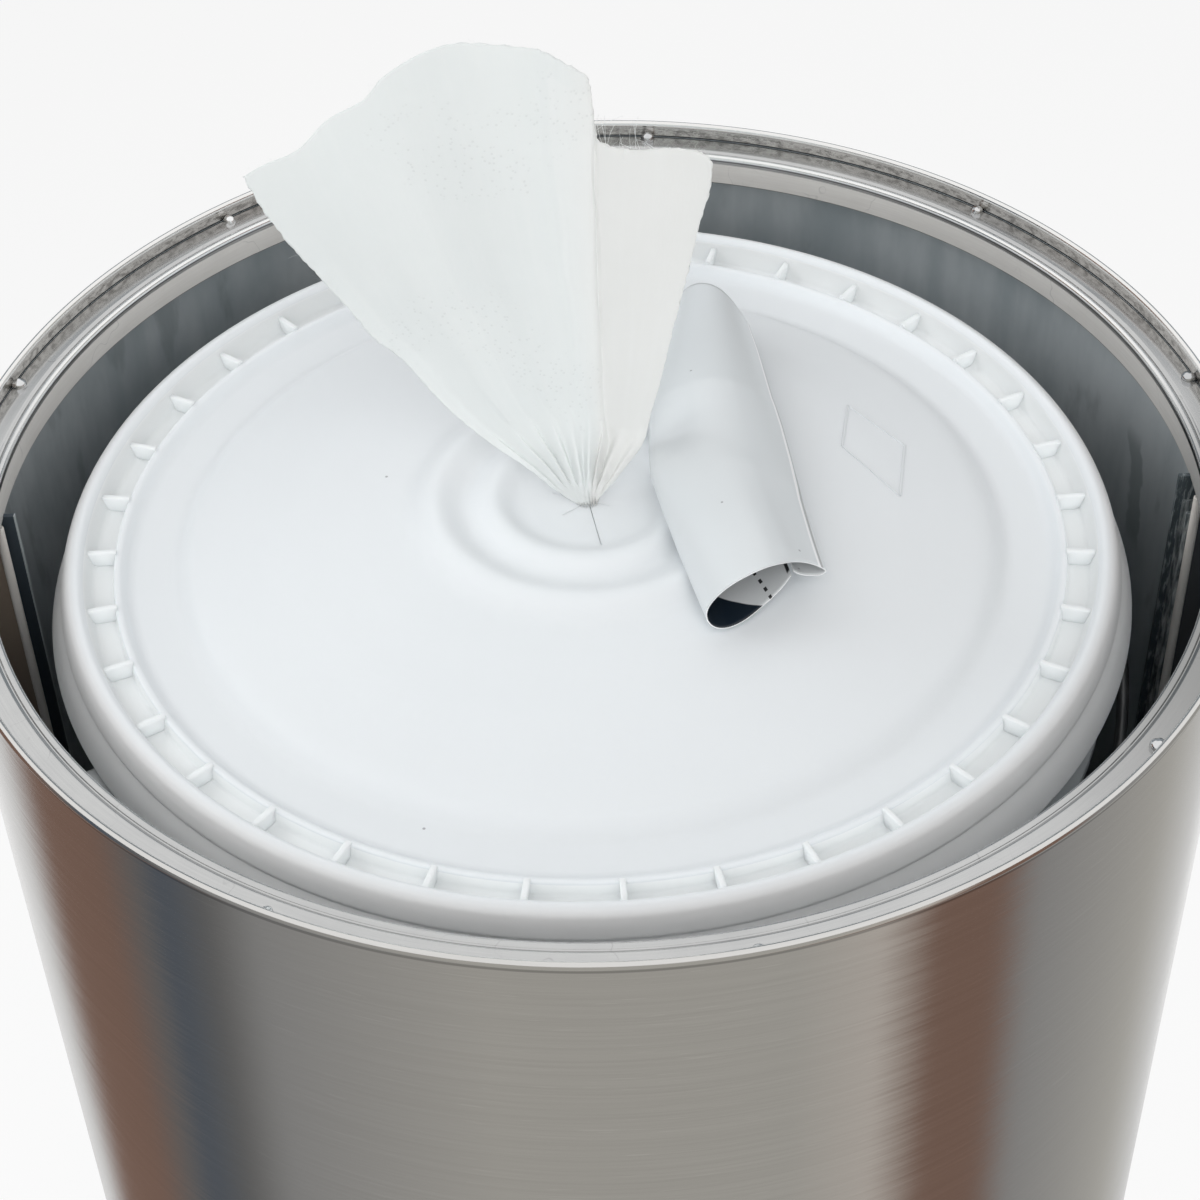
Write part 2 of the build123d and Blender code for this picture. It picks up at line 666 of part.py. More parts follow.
def pail_lid():
    """The press-on lid: skirt, rolled rim, ribbed channel, stepped crown and slit valve."""
    z = lid_crest
    wall = lid_wall
    crown_mid = (step_inner_radius + crown_radius) / 2
    crown_mid_rise = (crown_rise - step_drop) / 2 + 1.6
    foot_rise = (valve_rise + wave_dip) / 2
    top = [
        Polyline((valve_radius, z + valve_rise), (wave_foot_radius, z + foot_rise),
                 (wave_inner_radius, z + wave_rise), (wave_middle_radius, z + wave_dip),
                 (wave_outer_radius, z + wave_rise), (crown_radius, z + crown_rise)),
        ThreePointArc((crown_radius, z + crown_rise), (crown_mid, z + crown_mid_rise),
                      (step_inner_radius, z - step_drop)),
        Polyline((step_inner_radius, z - step_drop), (step_outer_radius, z - gutter_drop),
                 (gutter_radius, z - gutter_drop),
                 (pocket_inner_radius - pocket_wall, z - pocket_inner_drop),
                 (pocket_inner_radius, z - pocket_inner_drop),
                 (pocket_inner_radius, z - pocket_depth),
                 (pocket_outer_radius, z - pocket_depth),
                 (pocket_outer_radius, z - pocket_edge_drop)),
        ThreePointArc((pocket_outer_radius, z - pocket_edge_drop), (crest_radius, z),
                      (parting_radius, z - parting_drop)),
    ]
    rim_inside = pail_rim_radius + 0.3
    skirt = Polyline(
        (parting_radius, z - parting_drop), (parting_radius - 0.5, z - parting_drop - 0.5),
        (skirt_radius, z - skirt_drop), (skirt_radius - wall, z - skirt_drop),
        (rim_inside, z - parting_drop - 2), (rim_inside, lid_groove_top()),
        (pocket_outer_radius + wall, lid_groove_top()),
        (pocket_outer_radius, z - pocket_depth - wall),
        (pocket_inner_radius - pocket_wall, z - pocket_depth - wall),
        (gutter_radius, z - gutter_drop - wall), (step_outer_radius, z - gutter_drop - wall),
        (step_inner_radius - wall, z - step_drop - wall))
    under = [
        ThreePointArc((step_inner_radius - wall, z - step_drop - wall),
                      (crown_mid, z + crown_mid_rise - wall),
                      (crown_radius, z + crown_rise - wall)),
        Polyline((crown_radius, z + crown_rise - wall),
                 (wave_middle_radius, z + wave_dip - wall),
                 (wave_foot_radius, z + foot_rise - wall), (valve_radius, z + valve_rise - wall),
                 (valve_radius, z + valve_rise)),
    ]
    lid = spun(*top, skirt, *under)
    rib = upright_box(pocket_inner_radius - 0.5, pocket_outer_radius + 0.5, -rib_wall / 2,
                      rib_wall / 2, z - pocket_depth - 0.2, z - pocket_inner_drop - rib_drop / 9)
    lid += [Rot(0, 0, (index + 0.25) * 360 / rib_count) * rib for index in range(rib_count)]
    slit = upright_box(0, slit_length, -slit_width / 2, slit_width / 2, z, z + 2 * valve_rise)
    lid -= [Rot(0, 0, slit_turn + index * 360 / slit_count) * slit for index in range(slit_count)]
    return pail_middle * lid


def lid_groove_top():
    """Ceiling of the groove that is pressed over the pail's rim and holds the gasket."""
    return lid_crest - lid_wall


def lid_gasket():
    """The sealing ring squeezed between the pail's rim and the lid's groove."""
    middle = (pail_rim_radius + pail_wall_radius(pail_rim_top) - pail_wall) / 2
    ring = tube(middle + gasket_width / 2, middle - gasket_width / 2, pail_rim_top,
                lid_groove_top())
    return pail_middle * ring


def wipes_roll():
    """The roll that the wipes are drawn from, out of its open core."""
    low = shelf_height + pail_foot
    return pail_middle * tube(roll_radius, roll_core_radius, low, low + roll_height)


def wipe_outline():
    """Front view of the torn sheet, as distance from the middle and height over the rim."""
    return [(-5.4, -14), (-35, 2), (-61, 36), (-83, 76), (-88, 88), (-72, 95), (-49, 115),
            (-28, 123), (-10, 121), (0, 113), (3, 97), (13, 92), (31, 89), (30, 76), (23, 36),
            (12, -6), (0.6, -14)]


def wipe_sheet():
    """The damp sheet pulled up through the valve, fanned out in a few soft folds."""
    low = stand_height - sheet_start_drop
    levels = ((0, 3.2, 0.3, 0), (16, 24, 2.5, 2), (50, 52, 6, 8), (140, 100, 9, 12))
    folds = (-1.0, -0.62, -0.25, 0.0, 0.3, 0.65, 1.0)
    sections = []
    for rise, half_width, depth, lean in levels:
        middle = pail_offset - 0.28 * rise
        front = [(middle + f * half_width, lean + depth * (-1) ** i - sheet_thickness / 2)
                 for i, f in enumerate(folds)]
        back = [(x, y + sheet_thickness) for x, y in reversed(front)]
        sections.append(Pos(0, 0, low + rise) * make_face(Polyline(*front, *back, close=True)))
    fan = loft(sections, ruled=True)
    outline = make_face(Polyline(*[(x, h) for x, h in wipe_outline()], close=True))
    room = extrude(Plane.XZ.offset(sheet_reach) * outline, -2 * sheet_reach)
    room = Pos(0, 0, stand_height) * room
    neck = Pos(pail_offset, 0, low - neck_depth / 2 + 1) * Cylinder(neck_radius, neck_depth)
    return (fan & room) + neck


def lens(half_width, rise, sag):
    """A flat oval between two arcs that meet at its left and right corners."""
    upper = ThreePointArc((-half_width, 0), (0, rise), (half_width, 0))
    lower = ThreePointArc((half_width, 0), (0, -sag), (-half_width, 0))
    return make_face([upper, lower])


def seal_label():
    """The peeled seal, curled into a flat tube that lies over the crown beside the valve."""
    half_width = label_width / 2
    ring = lens(half_width, label_rise, label_sag) - lens(
        half_width - 2 * label_film, label_rise - label_film, label_sag - label_film)
    ring -= Pos(label_edge_gap - half_width, -label_sag) * Rectangle(label_edge_gap, label_sag * 1.6)
    turn = math.radians(label_turn)
    height = lid_crest + wave_rise + fold_gap + label_sag
    start = Plane((*label_near, height), x_dir=(-math.cos(turn), -math.sin(turn), 0),
                  z_dir=(-math.sin(turn), math.cos(turn), 0))
    tube_piece = extrude(start * ring, label_length)
    reach = 2 * label_width
    front = Pos(*label_mouth, height) * Rot(0, 0, label_mouth_turn) * Pos(0, -reach / 2, 0) * Box(
        2 * reach, reach, reach)
    return tube_piece - front


save(outer_shell() - rivet_holes(-1), "outer_shell")
save(waste_edging(), "waste_edging")
save(top_ring(), "top_ring")
save(group(tack_welds()), "tack_welds")
save(floor_ring(), "floor_ring")
save(base_pan(), "base_pan")
save(waste_bin(), "waste_bin")
save(shelf_tray(), "shelf_tray")
save(group(bracket(angle) for angle in bracket_angles), "shelf_brackets")
save(group(shelf_bolt(angle) for angle in bracket_angles), "shelf_bolts")
save(group(shelf_nut(angle) for angle in bracket_angles), "shelf_nuts")
save(hinge_leaf(-1) - rivet_holes(-1), "hinge_leaf_fixed")
save(hinge_leaf(1) - rivet_holes(1), "hinge_leaf_door")
save(hinge_pin(), "hinge_pin")
save(group(hinge_rivets(-1)), "hinge_rivets_fixed")
save(group(hinge_rivets(1)), "hinge_rivets_door")
save(rear_door() - rivet_holes(1), "rear_door")
save(lock_barrel(), "lock_barrel")
save(lock_nut(), "lock_nut")
save(lock_plug(), "lock_plug")
save(hook_cam(), "hook_cam")
save(cam_screw(), "cam_screw")
save(wipes_pail(), "wipes_pail")
save(bail(), "bail")
save(bail_grip(), "bail_grip")
save(pail_lid(), "pail_lid")
save(lid_gasket(), "lid_gasket")
save(wipes_roll(), "wipes_roll")
save(wipe_sheet(), "wipe_sheet")
save(seal_label(), "seal_label")
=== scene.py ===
# %% [markdown]
# # A wipes dispenser stand with a bin
# A brushed steel cylinder holds a white pail of damp wipes. The lid has a slit valve in its
# middle, a wipe is pulled up through it, and the seal that was peeled off lies curled beside it.
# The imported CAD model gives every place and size. This script dresses it: fine meshes where the
# eye goes, a procedural finish for each material, a pale floor and soft studio light.

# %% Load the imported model
import math
import random

import bmesh
import bpy
from mathutils import Matrix, Vector, noise


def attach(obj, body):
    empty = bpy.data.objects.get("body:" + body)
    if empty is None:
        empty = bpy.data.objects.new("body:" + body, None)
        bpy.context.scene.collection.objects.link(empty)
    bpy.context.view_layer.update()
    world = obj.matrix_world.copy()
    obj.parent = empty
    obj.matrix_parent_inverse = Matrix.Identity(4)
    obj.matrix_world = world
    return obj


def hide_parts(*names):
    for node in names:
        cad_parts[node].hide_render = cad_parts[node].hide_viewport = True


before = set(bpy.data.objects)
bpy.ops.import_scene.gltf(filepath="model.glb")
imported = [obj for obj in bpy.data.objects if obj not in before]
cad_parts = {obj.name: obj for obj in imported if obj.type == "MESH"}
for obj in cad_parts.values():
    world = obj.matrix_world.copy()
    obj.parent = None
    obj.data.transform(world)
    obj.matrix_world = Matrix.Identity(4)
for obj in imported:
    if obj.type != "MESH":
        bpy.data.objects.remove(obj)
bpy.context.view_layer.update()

# %% [markdown]
# ## The camera first
# The photograph looks down from the front, about 42 degrees below level. Its place was worked
# out from the circles of the rim and the lid, so it is set here as numbers: where it stands, how
# far it looks down, and a small roll. The three directions make the camera's matrix directly.

# %% Camera
MM = 0.001
EYE = Vector((0.0, -0.5297, 1.3942))
LOOK_DOWN, LOOK_ASIDE, ROLL = (math.radians(a) for a in (42.2356, -0.0179, -1.7369))


def camera_axes():
    """Right, up and forward of the camera."""
    forward = Vector((math.sin(LOOK_ASIDE) * math.cos(LOOK_DOWN),
                      math.cos(LOOK_ASIDE) * math.cos(LOOK_DOWN), -math.sin(LOOK_DOWN)))
    side = forward.cross(Vector((0, 0, 1))).normalized()
    above = side.cross(forward)
    right = side * math.cos(ROLL) + above * math.sin(ROLL)
    up = above * math.cos(ROLL) - side * math.sin(ROLL)
    return right, up, forward


right, up, forward = camera_axes()
camera_data = bpy.data.cameras.new("camera")
camera_data.sensor_width = 36
camera_data.lens = 74.233
camera = bpy.data.objects.new("camera", camera_data)
bpy.context.scene.collection.objects.link(camera)
camera.matrix_world = Matrix.Translation(EYE) @ Matrix((right, up, -forward)).transposed().to_4x4()
bpy.context.scene.camera = camera
print("camera looks along", [round(v, 3) for v in forward])

# %% [markdown]
# ## Writing a finish as sums
# A procedural material is arithmetic on numbers that change over the surface. `Number` wraps one
# socket, so `1 - mask * 0.3` adds the Math nodes by itself. `Surface` makes every other kind of
# node with one method. `Finish` is a material, and `Coating` one round a Principled shader.

# %% Numbers and finishes
class Number:
    """A number inside a material. Sums on it become Math nodes."""

    def __init__(self, finish, socket):
        self.finish = finish
        self.socket = socket


def sums(operation):
    """A sum with the number on its left, and the same sum with the number on its right."""
    return (lambda self, other: self.finish.maths(operation, self, other),
            lambda self, other: self.finish.maths(operation, other, self))


for sign, operation in (("add", "ADD"), ("sub", "SUBTRACT"), ("mul", "MULTIPLY"),
                        ("truediv", "DIVIDE")):
    for side, sum_of in zip(("__", "__r"), sums(operation)):
        setattr(Number, side + sign + "__", sum_of)


class Surface:
    """The nodes of a material or of the world, and short ways to add to them."""

    def __init__(self, owner, ending):
        owner.use_nodes = True
        self.tree = owner.node_tree
        self.tree.nodes.clear()
        self.output = self.node(ending)

    def plug(self, socket, value):
        if isinstance(value, Number):
            value = value.socket
        if isinstance(value, bpy.types.NodeSocket):
            self.tree.links.new(value, socket)
        else:
            socket.default_value = value

    def node(self, kind, settings={}, values={}):
        """Any node: its type, its settings, then the values or links of its sockets."""
        made = self.tree.nodes.new(kind)
        for name, value in settings.items():
            if name == "stops":
                stops = made.color_ramp.elements
                while len(stops) < len(value):
                    stops.new(0.5)
                for stop, (place, colour) in zip(stops, value):
                    stop.position = place
                    stop.color = (*colour, 1)
            else:
                setattr(made, name, value)
        for name, value in values.items():
            self.plug(made.inputs[name], value)
        return made

    def maths(self, operation, *numbers):
        made = self.node("ShaderNodeMath", {"operation": operation}, dict(enumerate(numbers)))
        return Number(self, made.outputs[0])

    def arrow(self, operation, *vectors):
        """Vector Math, for places and directions."""
        values = dict(enumerate(vectors))
        return self.node("ShaderNodeVectorMath", {"operation": operation}, values).outputs[0]

    def parts(self, vector):
        made = self.node("ShaderNodeSeparateXYZ", {}, {0: vector})
        return [Number(self, socket) for socket in made.outputs]

    def noise(self, stretch, detail=3.0, rough=0.5, shift=(0, 0, 0), on=None):
        """Noise with its own number of waves per metre along X, Y and Z."""
        if isinstance(stretch, (int, float)):
            stretch = (stretch, stretch, stretch)
        spot = self.arrow("MULTIPLY_ADD", on or self.place, stretch, shift)
        made = self.node("ShaderNodeTexNoise", {}, {"Vector": spot, "Scale": 1.0,
                                                    "Detail": detail, "Roughness": rough})
        return Number(self, made.outputs[0])

    def between(self, number, low, high):
        """0 below low, 1 above high, and an even slope that eases in and out."""
        made = self.node("ShaderNodeMapRange", {"interpolation_type": "SMOOTHSTEP"},
                         {0: number, 1: low, 2: high, 3: 0.0, 4: 1.0})
        return Number(self, made.outputs[0])

    def spot(self, x, y, size):
        """1 inside a small round spot seen from above, 0 outside it."""
        across, away, _ = self.parts(self.place)
        return self.between(self.distance(across - x, away - y), size, size * 0.6)

    def band(self, number, low, full, fade, high):
        """0 at low, 1 from full to fade, 0 again at high. The four may also fall."""
        return self.between(number, low, full) * self.between(number, high, fade)

    def distance(self, x, y):
        return self.maths("SQRT", x * x + y * y)

    def line(self, number, width, sharp):
        """1 where the number is near 0, as a line with soft sides."""
        return self.between(self.maths("ABSOLUTE", number), width, sharp)

    def blend(self, share, one, other):
        """A colour between two colours."""
        one, other = ((*c, 1) if isinstance(c, tuple) and len(c) == 3 else c
                      for c in (one, other))
        made = self.node("ShaderNodeMix", {"data_type": "RGBA"}, {0: share, 6: one, 7: other})
        return made.outputs[2]

    def layered(self, tone, *layers):
        """A colour with others laid over it one by one, each with its own share."""
        for share, colour in layers:
            tone = self.blend(share, tone, colour)
        return tone

    def raised(self, height, distance, normal=None):
        """Bump: the height, and how far in metres a height of 1 stands out."""
        values = {"Height": height, "Distance": distance, "Strength": 1.0}
        if normal is not None:
            values["Normal"] = normal
        return self.node("ShaderNodeBump", {}, values).outputs[0]

    def show(self, shader, other=None, share=0.0):
        """Send a shader to the output, or a mix of two."""
        if other is not None:
            values = {0: share, 1: shader, 2: other}
            shader = self.node("ShaderNodeMixShader", {}, values).outputs[0]
        self.plug(self.output.inputs["Surface"], shader)

    def glow(self, colour, strength=1.0, kind="ShaderNodeEmission"):
        """A shader that glows in one colour."""
        return self.node(kind, {}, {"Color": colour, "Strength": strength}).outputs[0]

    def seen_directly(self):
        """1 for the camera, mirrors and glass, 0 for the light that falls on things."""
        rays = self.node("ShaderNodeLightPath").outputs
        seen = self.maths("MAXIMUM", rays["Is Camera Ray"], rays["Is Glossy Ray"])
        return self.maths("MAXIMUM", seen, rays["Is Transmission Ray"])


class Finish(Surface):
    """A material with its patterns on Object coordinates."""

    def __init__(self, name):
        self.material = bpy.data.materials.new(name)
        super().__init__(self.material, "ShaderNodeOutputMaterial")
        self.place = self.node("ShaderNodeTexCoord").outputs["Object"]


class Coating(Finish):
    """A material round one Principled shader. What is named here stays the same all over."""

    def __init__(self, name, **fixed):
        super().__init__(name)
        fixed = {key.replace("_", " ").title(): value for key, value in fixed.items()}
        self.shader = self.node("ShaderNodeBsdfPrincipled", {}, fixed)
        self.show(self.shader.outputs[0])

    def wear(self, **looks):
        """Plug what changes over the surface into the shader."""
        for name, value in looks.items():
            self.plug(self.shader.inputs[name.replace("_", " ").title()], value)
        return self


print("finish helpers ready")

# %% [markdown]
# ## Making sheet metal and moulded parts
# Most pieces are turned: an outline of radius and height goes round the Z axis, as in metal
# spinning or a mould. Corners get a small radius first, because a real edge always catches a
# line of light. Folded sheet is a plan path with a thickness, pulled up to its height.

# %% Shaping helpers
CREASE = 35  # degrees: edges over it stay sharp
SHEET = 0.0014  # the steel's thickness
NEAR = 1e-6  # points closer than this are one point


def shown(name, mesh):
    piece = bpy.data.objects.new(name, mesh)
    bpy.context.scene.collection.objects.link(piece)
    return piece


def crisp(mesh, crease=CREASE):
    """Smooth shading, with edges over the angle kept sharp."""
    mesh.shade_smooth()
    mesh.set_sharp_from_angle(angle=math.radians(crease))


def built(name, shape, crease=CREASE):
    """Turn a bmesh into an object whose faces point outwards."""
    bmesh.ops.recalc_face_normals(shape, faces=shape.faces)
    mesh = bpy.data.meshes.new(name)
    shape.to_mesh(mesh)
    shape.free()
    crisp(mesh, crease)
    return shown(name, mesh)


def ends_of(corner, before, after, radius):
    """Where a rounded corner starts and ends."""
    points = []
    for other in (before, after):
        run = (Vector(other) - Vector(corner))
        points.append(Vector(corner) + run.normalized() * min(radius, 0.48 * run.length))
    return points


def softened(corners, steps=4, closed=True):
    """Round the corners of an outline. Each corner is (across, height, radius)."""
    outline = []
    count = len(corners)
    for index, (x, y, radius) in enumerate(corners):
        inside = closed or 0 < index < count - 1
        if not radius or not inside:
            outline.append((x, y))
            continue
        before, after = corners[index - 1][:2], corners[(index + 1) % count][:2]
        start, end = ends_of((x, y), before, after, radius)
        for step in range(steps + 1):
            t = step / steps
            point = start * (1 - t) ** 2 + Vector((x, y)) * 2 * t * (1 - t) + end * t ** 2
            outline.append((point.x, point.y))
    return outline


def ribbon(shape, one, other):
    """Faces between two closed rings of points, either of which may be a single point."""
    sides = max(len(one), len(other))
    for side in range(sides if sides > 1 else 0):
        after = side + 1
        ring = [one[side % len(one)], one[after % len(one)], other[after % len(other)],
                other[side % len(other)]]
        shape.faces.new(list(dict.fromkeys(ring)))


def spun(name, outline, sides=360, middle=(0.0, 0.0), crease=CREASE):
    """Turn a closed outline of (radius, height) about an upright axis."""
    shape = bmesh.new()
    rings = []
    for radius, height in outline:
        turns = range(sides) if radius > NEAR else range(1)
        rings.append([shape.verts.new((middle[0] + radius * math.cos(math.tau * t / sides),
                                       middle[1] + radius * math.sin(math.tau * t / sides),
                                       height)) for t in turns])
    for one, other in zip(rings, rings[1:] + rings[:1]):
        ribbon(shape, one, other)
    return built(name, shape, crease)


def folded(name, path, low, high, thickness=SHEET):
    """Sheet metal: a plan path with a thickness, from a low to a high level."""
    path = [Vector(point) for point in path]
    sides = []
    for sign in (1, -1):
        loop = []
        for index, point in enumerate(path):
            run = path[min(index + 1, len(path) - 1)] - path[max(index - 1, 0)]
            loop.append(point + Vector((-run.y, run.x)).normalized() * sign * thickness / 2)
        sides.append(loop)
    plan = sides[0] + sides[1][::-1]
    shape = bmesh.new()
    bottom = [shape.verts.new((p.x, p.y, low)) for p in plan]
    top = [shape.verts.new((p.x, p.y, high)) for p in plan]
    ribbon(shape, bottom, top)
    for ring in (bottom, top):
        for index in range(len(path) - 1):
            shape.faces.new((ring[index], ring[index + 1], ring[-index - 2], ring[-index - 1]))
    return built(name, shape)


def polar(radius, degrees):
    turn = math.radians(degrees)
    return radius * math.cos(turn), radius * math.sin(turn)


def arc(radius, start, end, steps):
    """Points on a circle about the middle, from one angle to another."""
    return [polar(radius, start + (end - start) * step / steps) for step in range(steps + 1)]


def block(low, high):
    """A plain box, used as a cutter."""
    shape = bmesh.new()
    bmesh.ops.create_cube(shape, size=1)
    size = Vector(high) - Vector(low)
    for vert in shape.verts:
        vert.co = Vector(low) + Vector(((vert.co[i] + 0.5) * size[i] for i in range(3)))
    return built("cutter", shape)


def pushed(outline, start, end):
    """An outline of (x, z) points pushed along Y, used as a cutter."""
    shape = bmesh.new()
    rings = [[shape.verts.new((x, y, z)) for x, z in outline] for y in (start, end)]
    ribbon(shape, *rings)
    for ring in rings:
        shape.faces.new(ring)
    return built("cutter", shape)


def sheet_of(name, rows, flat_map, thickness):
    """Thin sheet from rows of points, with a flat map that runs from 0 to 1 both ways."""
    shape = bmesh.new()
    flat = shape.loops.layers.uv.new(flat_map)
    grid = [[shape.verts.new(spot) for spot in row] for row in rows]
    wide, long = len(rows[0]) - 1, len(rows) - 1
    for b, (low, high) in enumerate(zip(grid, grid[1:])):
        for a in range(wide):
            face = shape.faces.new((low[a], low[a + 1], high[a + 1], high[a]))
            corners = ((a, b), (a + 1, b), (a + 1, b + 1), (a, b + 1))
            for loop, (i, j) in zip(face.loops, corners):
                loop[flat].uv = (i / wide, j / long)
    mesh = bpy.data.meshes.new(name)
    shape.to_mesh(mesh)
    shape.free()
    mesh.shade_smooth()
    sheet = shown(name, mesh)
    wall = sheet.modifiers.new("wall", "SOLIDIFY")
    wall.thickness, wall.offset = thickness, 0
    return settled(sheet)


def settled(piece):
    """The piece with its modifiers made into plain mesh."""
    mesh = bpy.data.meshes.new_from_object(piece.evaluated_get(
        bpy.context.evaluated_depsgraph_get()))
    piece.modifiers.clear()
    piece.data = mesh
    return piece


def cut(piece, *cutters):
    """Cut the cutters out of a piece."""
    for cutter in cutters:
        knife = piece.modifiers.new("cut", "BOOLEAN")
        knife.object = cutter
        knife.solver = "EXACT"
    settled(piece)
    for cutter in cutters:
        bpy.data.objects.remove(cutter)
    crisp(piece.data)
    return piece


def joined(name, *pieces, crease=CREASE):
    """Several meshes as one piece."""
    shape = bmesh.new()
    for piece in pieces:
        shape.from_mesh(piece.data)
        bpy.data.objects.remove(piece)
    return built(name, shape, crease)


def refined(node, ease=0.0):
    """A copy of a CAD piece with merged points, smooth faces and eased edges."""
    shape = bmesh.new()
    shape.from_mesh(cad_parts[node].data)
    bmesh.ops.remove_doubles(shape, verts=shape.verts, dist=NEAR)
    bmesh.ops.dissolve_limit(shape, angle_limit=math.radians(0.5), verts=shape.verts,
                             edges=shape.edges)
    if ease:
        sharp = [edge for edge in shape.edges if len(edge.link_faces) == 2
                 and edge.calc_face_angle(0) > math.radians(CREASE)]
        bmesh.ops.bevel(shape, geom=sharp, offset=ease, segments=2, profile=0.5,
                        affect="EDGES", clamp_overlap=True)
    mesh = bpy.data.meshes.new(node + "_fine")
    shape.to_mesh(mesh)
    shape.free()
    crisp(mesh)
    return shown(node + "_fine", mesh)


def hand_over(piece, body, slot, finish, *nodes):
    """Give a finished piece its material and its body, and hide the CAD nodes it stands for."""
    piece.data.materials.clear()
    piece.data.materials.append(finish.material)
    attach(piece, body)
    if nodes:
        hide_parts(*nodes)
    print(piece.name, len(piece.data.polygons), "faces on", body)
    return piece


# %% [markdown]
# ## Growing what repeats
# Ribs, welds and loose fibres are one small shape each, many times over. Geometry Nodes suit
# that: the tree has named sizes, places the copies, makes them real and gives them a material.
# `Recipe` builds such a tree and turns its result into a plain mesh once.

# %% Recipes
class Recipe:
    """A Geometry Nodes tree with named sizes, grown once into a mesh."""

    def __init__(self, title, finish, **sizes):
        self.tree = bpy.data.node_groups.new(title, "GeometryNodeTree")
        self.sizes = sizes
        self.finish = finish
        shape = "NodeSocketGeometry"
        self.tree.interface.new_socket("Base", in_out="INPUT", socket_type=shape)
        self.tree.interface.new_socket("Result", in_out="OUTPUT", socket_type=shape)
        for name, value in sizes.items():
            kind = "NodeSocketInt" if isinstance(value, int) else "NodeSocketFloat"
            self.tree.interface.new_socket(name, in_out="INPUT", socket_type=kind)
        self.given = self.tree.nodes.new("NodeGroupInput").outputs

    def node(self, kind, settings={}, values={}):
        made = self.tree.nodes.new(kind)
        for name, value in settings.items():
            setattr(made, name, value)
        for name, value in values.items():
            if isinstance(value, bpy.types.NodeSocket):
                self.tree.links.new(value, made.inputs[name])
            else:
                made.inputs[name].default_value = value
        return made.outputs

    def sum(self, operation, *values):
        return self.node("ShaderNodeMath", {"operation": operation}, dict(enumerate(values)))[0]

    def chance(self, kind, low, high):
        """A random size or turn for each copy."""
        values = {"Min": low, "Max": high, "Seed": self.given["Seed"]}
        made = self.node("FunctionNodeRandomValue", {"data_type": kind}, values)
        return made[1 if kind == "FLOAT" else 0]

    def copies(self, points, piece, **changes):
        values = {"Points": points, "Instance": piece, **changes}
        return self.node("GeometryNodeInstanceOnPoints", {}, values)[0]

    def bar(self, run, section):
        """A solid bar along a curve."""
        values = {"Curve": run, "Profile Curve": section, "Fill Caps": True}
        return self.node("GeometryNodeCurveToMesh", {}, values)[0]

    def vector(self, **parts):
        return self.node("ShaderNodeCombineXYZ", {}, parts)[0]

    def grow(self, name, instances, base=None, crease=CREASE):
        """End the tree, run it on the base mesh and keep the result."""
        real = self.node("GeometryNodeRealizeInstances", {}, {0: instances})[0]
        dressed = self.node("GeometryNodeSetMaterial", {}, {
            "Geometry": real, "Material": self.finish.material})[0]
        self.tree.links.new(dressed, self.tree.nodes.new("NodeGroupOutput").inputs[0])
        holder = shown(name + "_base", base or bpy.data.meshes.new(name))
        grower = holder.modifiers.new("grow", "NODES")
        grower.node_group = self.tree
        for item in self.tree.interface.items_tree:
            if item.name in self.sizes:
                grower[item.identifier] = self.sizes[item.name]
        mesh = bpy.data.meshes.new_from_object(holder.evaluated_get(
            bpy.context.evaluated_depsgraph_get()))
        bpy.data.objects.remove(holder)
        shape = bmesh.new()
        shape.from_mesh(mesh)
        bmesh.ops.remove_doubles(shape, verts=shape.verts, dist=NEAR)
        bpy.data.meshes.remove(mesh)
        return built(name, shape, crease)


print("recipe helper ready")

# %% [markdown]
# ## Brushed steel
# The cylinder was brushed while it turned, so its scratches run round it in short fine lines.
# The metal smears every reflection across them, up and down: the shader's anisotropy does that,
# turned by a quarter. Stretched noise gives the lines, and a small sideways turn of the normal
# from line to line gives a reflection its comb-like edge.

